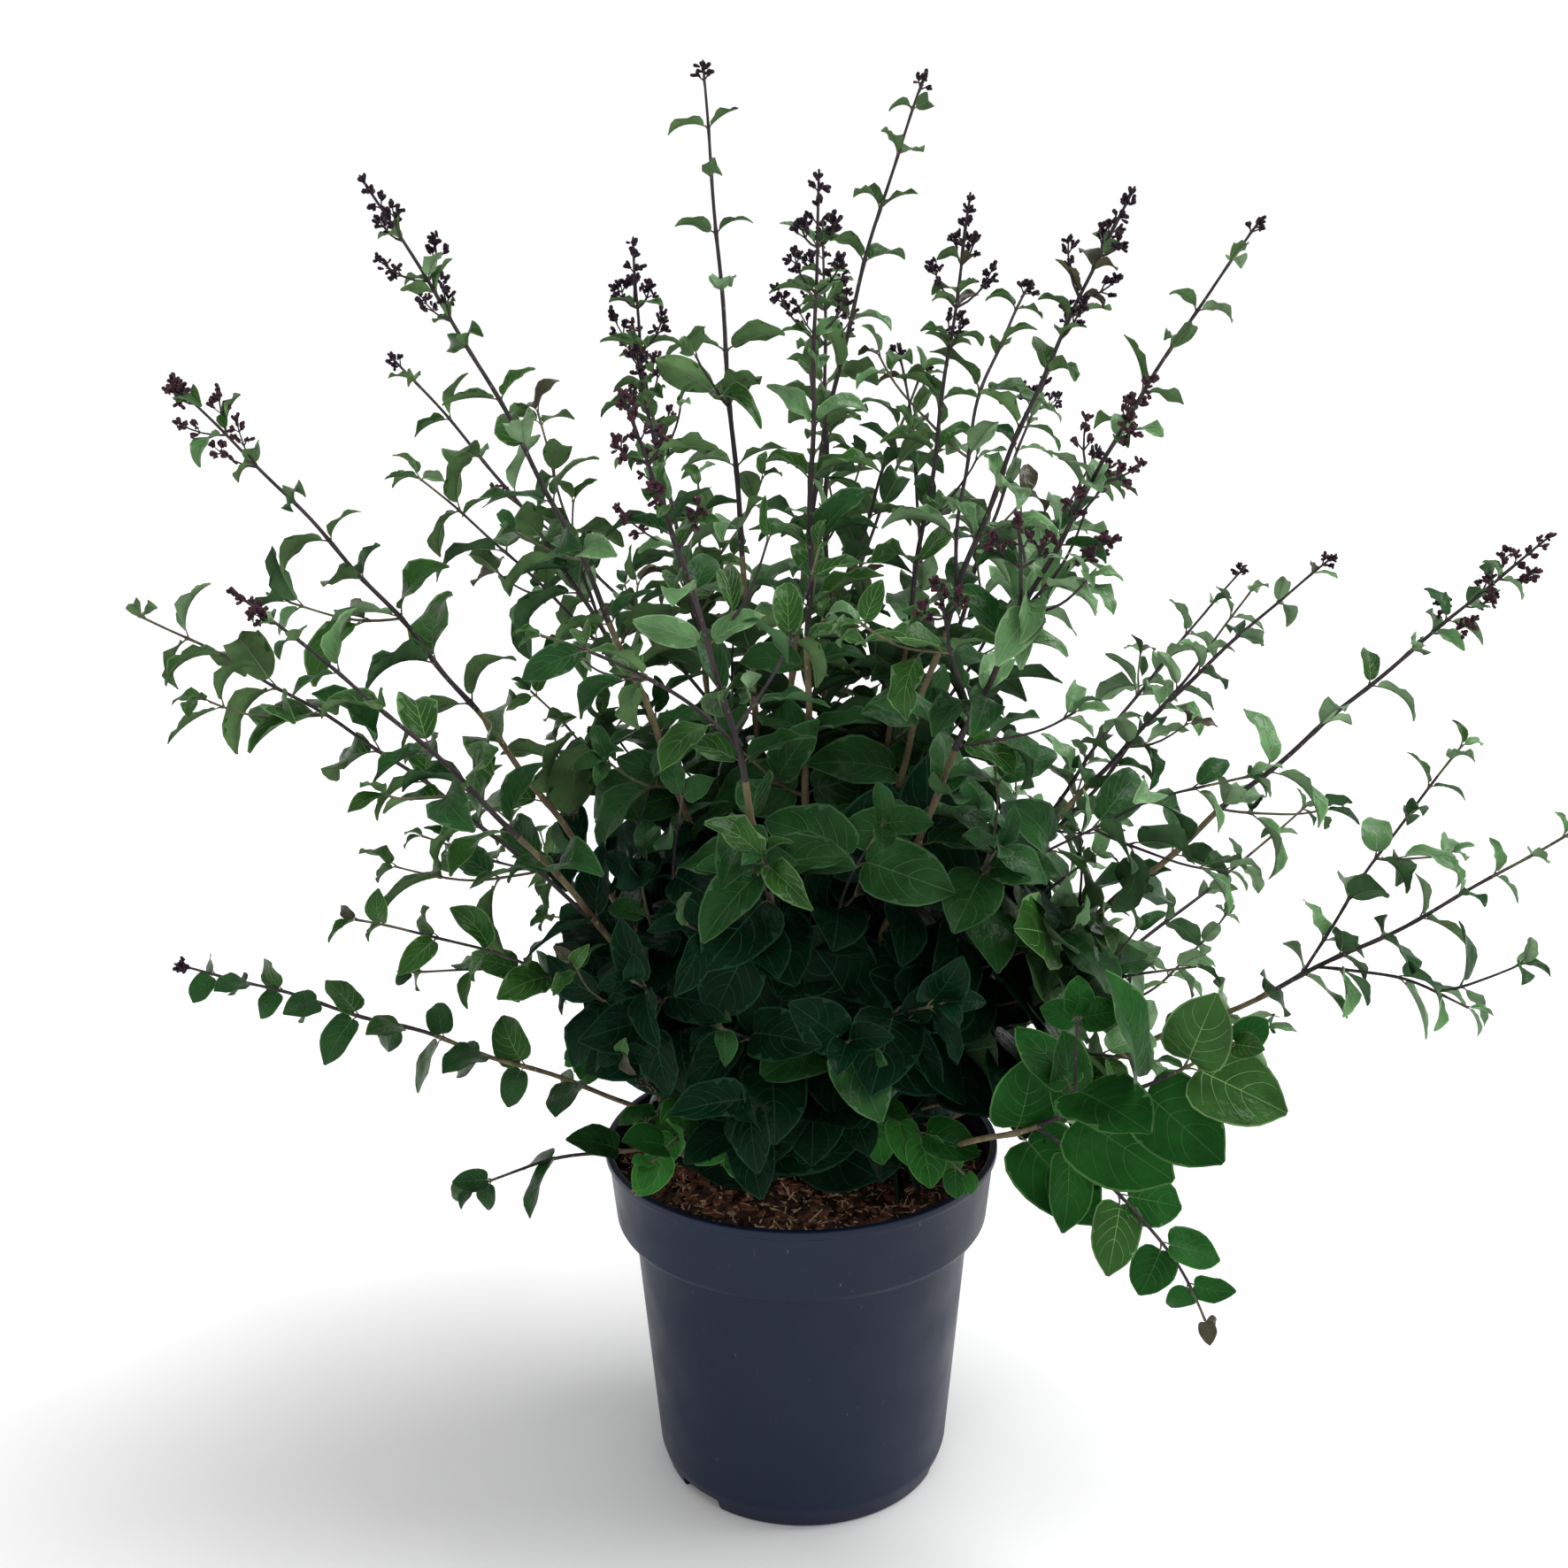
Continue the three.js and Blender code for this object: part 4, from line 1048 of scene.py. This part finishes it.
def in_the_open(points, margin, over_rim):
    """Whether all points lie in the CAD box, none in the pot or soil or where it hides the open
    soil, and none beside or close above the rim, unless the spray hangs over it."""
    if np.any(points <= cad_low - margin) or np.any(points >= cad_high + margin):
        return False
    for x, y, z in points:
        reach = hypot(x, y)
        if not over_rim and reach > LIP_R - 0.01 and z < POT_HEIGHT + RIM_CLEAR:
            return False
        if OPEN_FRONT_X[0] < x < OPEN_FRONT_X[1] and y < OPEN_FRONT_Y:
            if z < SOIL_Z + OPEN_FRONT_RISE * (1 + 0.35 * sin(75 * x)) * (OPEN_FRONT_Y - y):
                return False
        if z > POT_HEIGHT + 0.006 or (reach < BAND_FOOT_R - 0.004 and z > SOIL_Z + POT_CLEAR):
            continue
        beside = LIP_R if z > BAND_FOOT_Z - 0.01 else wall_reach(z)
        if reach > beside + POT_CLEAR and z > HANG_FOOT_Z:
            continue
        return False
    return True


# Sprays that leave the rule: the length of their leaves, their share of the rule's gap between
# pairs, how round they are, where they start to get smaller and how small they end, how far they
# hang, the way they all face, and the side that one of their two ranks stands on.
SPRAYS = {
    "front_droop": dict(leaf=0.06, gap=1.1, round=1, small_from=0.72, tip_share=0.35, hang=0.35,
                        facing=(0.3, -1.3, 0.8), side=(-0.45, 0, 0.9)),
    "droop_end": dict(leaf=0.055, gap=0.85, round=0.9, small_from=0.3, tip_share=0.33, hang=0.15,
                      facing=(0.2, -1.3, 0.6), side=(1, 0, 0.2)),
    "low_left": dict(leaf=0.037, gap=0.72, round=0.75, facing=(-0.3, -1.1, 0.7)),
    "rim_left": dict(leaf=0.039, round=0.7, facing=(-0.3, -1.1, 0.7)),
    "sprig": dict(leaf=0.033, gap=0.5, round=0.8, facing=(0, -0.8, 1)),
    "right_low": dict(leaf=0.037, gap=0.72),
    "right_back": dict(leaf=0.038),
    "left_mid": dict(leaf=0.056, gap=0.95),
    "left_front": dict(leaf=0.056, gap=0.95),
    "left_back": dict(leaf=0.052, gap=1.1),
    "inner_left": dict(facing=(-0.5, -1, 0.8)),
    "inner_back_left": dict(facing=(-0.4, -0.7, 0.9)),
}
# Those that may hang beside the pot.
OVER_RIM = ("front_droop", "droop_end", "rim_left", "low_left", "sprig",
            "low_back_left", "low_back", "low_back_right")

# ---- shades of the leaves
# Plain colours of a leaf's face, underside and veins, dealt out by spray, height, age and depth in
# the bush, and the gloss of its face. The dark and deep tones inside and low in the bush are
# painted shade, deep partly also the darker green of older leaves; grey on the sunlit right and
# bright on the sprigs are partly painted light.
SHADES = {
    # painted shade: near-black green for leaves deep in the heart of the bush
    "dark": ((0.002, 0.0145, 0.0055), (0.012, 0.04, 0.02), (0.013, 0.053, 0.024), 0.05),
    # partly painted shade: darker green inside and low in the bush, partly the tone of older leaves
    "deep": ((0.013, 0.057, 0.0125), (0.05, 0.108, 0.046), (0.052, 0.125, 0.048), 0.11),
    "mid": ((0.018, 0.07, 0.009), (0.09, 0.165, 0.064), (0.13, 0.24, 0.085), 0.16),
    # partly painted light: paler leaves on the sunlit right side, partly their own grey-green tone
    "grey": ((0.088, 0.205, 0.072), (0.19, 0.3, 0.16), (0.2, 0.32, 0.16), 0.25),
    "fresh": ((0.01, 0.062, 0.01), (0.055, 0.14, 0.04), (0.038, 0.122, 0.032), 0.03),
    # partly painted light: a lighter copy of fresh for sprigs that lie in the crown's shade
    "bright": ((0.02, 0.105, 0.016), (0.08, 0.19, 0.05), (0.08, 0.2, 0.06), 0.03),
    "bronze": ((0.032, 0.032, 0.014), (0.085, 0.075, 0.045), (0.1, 0.1, 0.055), 0.25),
}
BUD_SKINS = {
    "black": ((0.006, 0.003, 0.007), (0.034, 0.013, 0.026)),
    "purple": ((0.014, 0.005, 0.008), (0.075, 0.027, 0.039)),
}
PURPLE_SPRAYS = ("front_left", "front_right", "left_mid", "left_front", "right_mid", "back_left")
BRONZE_SPRAYS = ("left_back", "inner_left", "middle_right", "right_high", "right_back", "droop_end")
# Bark in its dark and light tone, the tone of its lenticels, and how deep its cracks are.
BARKS = {
    "old": ((0.07, 0.052, 0.028), (0.19, 0.15, 0.08), (0.3, 0.25, 0.15), 0.8),
    "young": ((0.011, 0.007, 0.009), (0.036, 0.025, 0.027), (0.11, 0.085, 0.08), 0.4),
    "green": ((0.045, 0.04, 0.022), (0.1, 0.1, 0.05), (0.17, 0.16, 0.1), 0.25),
    "husk": ((0.05, 0.04, 0.03), (0.16, 0.125, 0.085), (0.25, 0.2, 0.15), 0.5),
}


def shade_of(node, tipward, spray, rng):
    luck, within = rng.uniform(), heart(node)
    # sprigs mostly get the bright tone, painted light against the crown's shade over them
    if spray == "sprig":
        return "bright" if luck < 0.7 else "fresh"
    if spray in ("low_left", "rim_left"):
        return "deep" if luck < 0.55 else "mid"
    if tipward > 0.93 and spray in BRONZE_SPRAYS and within < 0.2 and luck < 0.4:
        return "bronze"
    if spray in ("front_droop", "droop_end"):
        if tipward > 0.9 and (spray == "droop_end" or node[0] > 0.25) and luck < 0.75:
            return "bronze"
        return "fresh" if luck < 0.88 else "mid"
    # deep in the heart: painted shade in the dark and deep tones, except on the sunlit right flank
    if within > 0.45 or (within > 0.12 and node[2] < 0.47):
        # the sunlit right flank gets paler mid and grey tones: partly painted light
        if node[0] > 0.14:
            return "deep" if luck < 0.33 else "mid" if luck < 0.55 else "grey"
        return "dark" if node[2] < 0.475 and luck < 0.92 else "deep"
    # nearer the heart and lower down, more leaves get the deep tone: partly painted shade
    if luck < max(within * 3.5, 0.3 * (node[2] < 0.72)):
        return "deep"
    # most leaves on the sunlit right side are grey: partly painted light, partly their grey-green
    # tone
    if node[0] > 0.1 and node[2] < 0.75 and luck > 0.33:
        return "grey"
    return "mid" if luck < 0.86 or node[2] < 0.6 else "grey"


# ---- the plant
def make_root_crown(wood, rng):
    """A knotty dome under the stems."""
    rings, segments, sink = 14, 40, 0.012
    angles = np.linspace(0, 2 * pi, segments, endpoint=False)
    tilt = np.linspace(0, pi / 2 * 0.97, rings)[:, None]
    lumps = 1 + 0.05 * np.sin(5 * angles + 1) * np.cos(3 * tilt)
    lumps = lumps + 0.035 * np.sin(11 * angles + 4 * tilt)
    lumps = lumps * rng.uniform(0.975, 1.025, lumps.shape)
    reach, rise = CROWN_R * np.cos(tilt) * lumps, (CROWN_HEIGHT + sink) * np.sin(tilt) * lumps
    points = np.stack([reach * np.cos(angles), reach * np.sin(angles), SOIL_Z - sink + rise], -1)
    top = np.concatenate([points.reshape(-1, 3), [[0, 0, points[-1, :, 2].mean()]]])
    last = (rings - 1) * segments + np.arange(segments)
    wood.add(top, grid_faces(rings, segments, wrap=True), fan(last, rings * segments))


def curve_to(start, way, rng):
    """The line from a point to a tip, by the tip's bearing, reach, height and the bow and sway."""
    bearing, reach, height, bow, sway = way
    return Curve(start, polar(bearing, reach * MM, height * MM), bow * MM, sway * MM, rng)


def stem_curve(row, foot_bearing, rng):
    ring, *way = row[:6]
    reach = FOOT_RINGS[ring]
    return curve_to(polar(foot_bearing, reach, crown_height(reach) - 0.004), way, rng)


def offshoots(table, name, stem, rng):
    """Of each row for this stem: the share where it leaves the stem, its line and its bloom."""
    for of, share, *way, bloom in table:
        if of == name:
            yield share, curve_to(stem.point(share), way, rng), bloom


def grow_sprigs(bush, feet):
    """Fresh sprigs over the rim. They come before the darker leaves, which leave them room."""
    for number, (name, row) in enumerate(STEMS.items()):
        stem = stem_curve(row, feet[name], np.random.default_rng((SEED, number, 0)))
        rng = bush.rng = np.random.default_rng((SEED, number, 1))
        for _, sprig, bloom in offshoots(SPRIGS, name, stem, rng):
            bush.grow(sprig, TWIG_R, TWIG_BARE, bloom, "sprig")


def grow_bush():
    bush = Bush()
    feet = stem_feet()
    make_root_crown(bush.wood["old"], bush.rng)
    grow_sprigs(bush, feet)
    for number, (name, row) in enumerate(STEMS.items()):
        bare, radius, bloom = row[6:]
        rng = bush.rng = np.random.default_rng((SEED, number, 0))
        stem = stem_curve(row, feet[name], rng)
        bush.grow(stem, radius * MM, max(bare, 0.02 / stem.length), bloom, name, foot=True)
        for share, shoot, bloom in offshoots(SHOOTS, name, stem, rng):
            spray = "droop_end" if name == "front_droop" else name
            start_r = mix(radius * MM, TIP_R, share) * SHOOT_R_SHARE
            bush.grow(shoot, start_r, SHOOT_BARE, bloom, spray)
        for _, twig, bloom in offshoots(TWIGS, name, stem, rng):
            bush.grow(twig, TWIG_R, TWIG_BARE, bloom, name)
    for b0, r0, h0, b1, r1, h1 in DRY_TWIGS:
        bush.dry_twig(polar(b0, r0 * MM, h0 * MM), polar(b1, r1 * MM, h1 * MM))
    return bush


def make_leaves(leaves, masses):
    rib_below = Kind()
    for name, (face, under, vein, gloss) in SHADES.items():
        grid, facing, length = leaves[name].grid()
        count, steps, columns = grid.shape[:3]
        first = (np.arange(count) * steps * columns)[:, None, None]
        cells = (triangles(grid_faces(steps, columns))[None] + first).reshape(-1, 3)
        top, below, veins = Kind(), Kind(), Kind()
        top.add(grid, cells[:, ::-1])
        under_grid = grid - facing * (BLADE_THICK * (1.1 - ACROSS**2))[None, None, :, None]
        # stretch the underside past the margin to show a pale outline: partly a painted edge
        # highlight
        rim = unit(grid[:, :, [0, -1]] - grid[:, :, [1, -2]]) * RIM
        under_grid[:, :, [0, -1]] += rim * (length / RULE_LEAF)[:, None, None, None]
        below.add(under_grid, cells)
        rib = rib_widths(ALONG_BLADE, RIB, length)
        midrib = (grid, facing, ALONG_BLADE, ALONG_BLADE * 0)
        add_ribbons(veins, *midrib, rib, VEIN_LIFT)
        add_ribbons(rib_below, *midrib, rib * 1.2, -BLADE_THICK * 1.6)
        path = np.linspace(0, 1, 6)
        thin = rib_widths(path, SIDE_RIB, length)
        for start, end in SIDE_VEINS:
            ts = start + (end - start) * path**1.3
            for hand in (-1, 1):
                ss = hand * path**0.9 * SIDE_REACH
                add_ribbons(veins, grid, facing, ts, ss, thin, VEIN_LIFT)
        faces = leaf_material(f"leaf_{name}", face, 0.34, gloss)
        top.piece(f"leaf_faces_{name}", faces, "foliage", masses)
        unders = leaf_material(f"leaf_under_{name}", under, 0.65, 0.03)
        below.piece(f"leaf_undersides_{name}", unders, "foliage", masses)
        veins.piece(f"leaf_veins_{name}", vein_material(f"leaf_vein_{name}", vein), "foliage")
    ribs = vein_material("leaf_rib_below", (0.16, 0.22, 0.12))
    rib_below.piece("leaf_midribs_below", ribs, "foliage")


def make_plant():
    bush = grow_bush()
    nodes = sorted(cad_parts)
    canes = [n for n in nodes if n.startswith("cane_") or n == "root_crown"]
    masses = [n for n in nodes if n.startswith("leaves_")]
    woods = {"old": ("canes_old_bark", canes), "young": ("twigs_young_bark", masses),
             "green": ("leaf_stalks", ())}
    for kind, (piece, stood_for) in woods.items():
        bark = bark_material(f"bark_{kind}", *BARKS[kind])
        bush.wood[kind].piece(piece, bark, "bark", stood_for)
    for name, tones in BUD_SKINS.items():
        bud = bud_material(f"bud_{name}", *tones)
        bush.buds[name].piece(f"flower_buds_{name}", bud, "buds")
    bush.dry.piece("dry_seed_heads", bark_material("dry_husk", *BARKS["husk"]), "bark")
    make_leaves(bush.leaves, masses)


# ---- camera, light and floor
LENS_PX = 2100  # focal length in pixels of the square image
IMAGE_PX = 1772
SENSOR_MM = 36
EYE = np.array([-0.0098, -1.219, 0.846])
LOOK_DOWN = 15.32  # degrees
ROLL = -0.53
CLIP = (0.01, 60)
FLOOR_SIZE = 24
SKY_STRENGTH = 1.05
SKY_STOPS = ((0.2, 1.0), (0.5, 0.68))  # its tone by height
SUN_FROM = (1.25, 0.15, 2.0)
SUN_STRENGTH = 2.6
SUN_WIDTH = 36  # degrees: broad and soft


def make_camera():
    pitch, roll = radians(LOOK_DOWN), radians(ROLL)
    ahead = np.array([0, cos(pitch), -sin(pitch)])
    level, rise = np.array([1.0, 0, 0]), np.array([0, sin(pitch), cos(pitch)])
    right = level * cos(roll) + rise * sin(roll)
    over = rise * cos(roll) - level * sin(roll)
    data = bpy.data.cameras.new("camera")
    data.sensor_width = SENSOR_MM
    data.lens = LENS_PX / IMAGE_PX * SENSOR_MM
    data.clip_start, data.clip_end = CLIP
    camera = bpy.data.objects.new("camera", data)
    turn = Matrix([[right[i], over[i], -ahead[i]] for i in range(3)])
    camera.matrix_world = Matrix.Translation(EYE) @ turn.to_4x4()
    scene.collection.objects.link(camera)
    scene.camera = camera


def make_sun():
    data = bpy.data.lights.new("key", "SUN")
    data.energy, data.angle = SUN_STRENGTH, radians(SUN_WIDTH)
    lamp = bpy.data.objects.new("key", data)
    scene.collection.objects.link(lamp)
    lamp.rotation_euler = Vector(SUN_FROM).to_track_quat("Z", "Y").to_euler()


def make_studio():
    world = bpy.data.worlds.new("studio")
    world.use_nodes = True
    nodes, links = world.node_tree.nodes, world.node_tree.links
    direction = nodes.new("ShaderNodeTexCoord").outputs["Generated"]
    height = nodes.new("ShaderNodeSeparateXYZ")
    shade = nodes.new("ShaderNodeValToRGB")
    for element, (at, value) in zip(shade.color_ramp.elements, SKY_STOPS):
        element.position, element.color = at, (value, value, value, 1)
    links.new(direction, height.inputs[0])
    links.new(height.outputs["Z"], shade.inputs["Fac"])
    links.new(shade.outputs["Color"], nodes["Background"].inputs["Color"])
    nodes["Background"].inputs["Strength"].default_value = SKY_STRENGTH
    scene.world = world
    scene.view_settings.view_transform = "Standard"
    make_sun()
    bpy.ops.mesh.primitive_plane_add(size=FLOOR_SIZE)
    floor = bpy.context.object
    floor.name = "floor"
    paint = Painter("floor_pale", (0.9, 0.9, 0.9), 0.9)
    paint.mottle(0.8, 2, (0.2, 0.89), (0.8, 0.92))
    floor.data.materials.append(paint.material)
    floor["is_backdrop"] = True


make_camera()
make_studio()
make_pot()
make_soil(np.random.default_rng(5))
make_plant()

size = {
    "cad": [list(map(float, cad_low)), list(map(float, cad_high))],
    "visual": [list(map(float, corner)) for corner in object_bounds()],
}
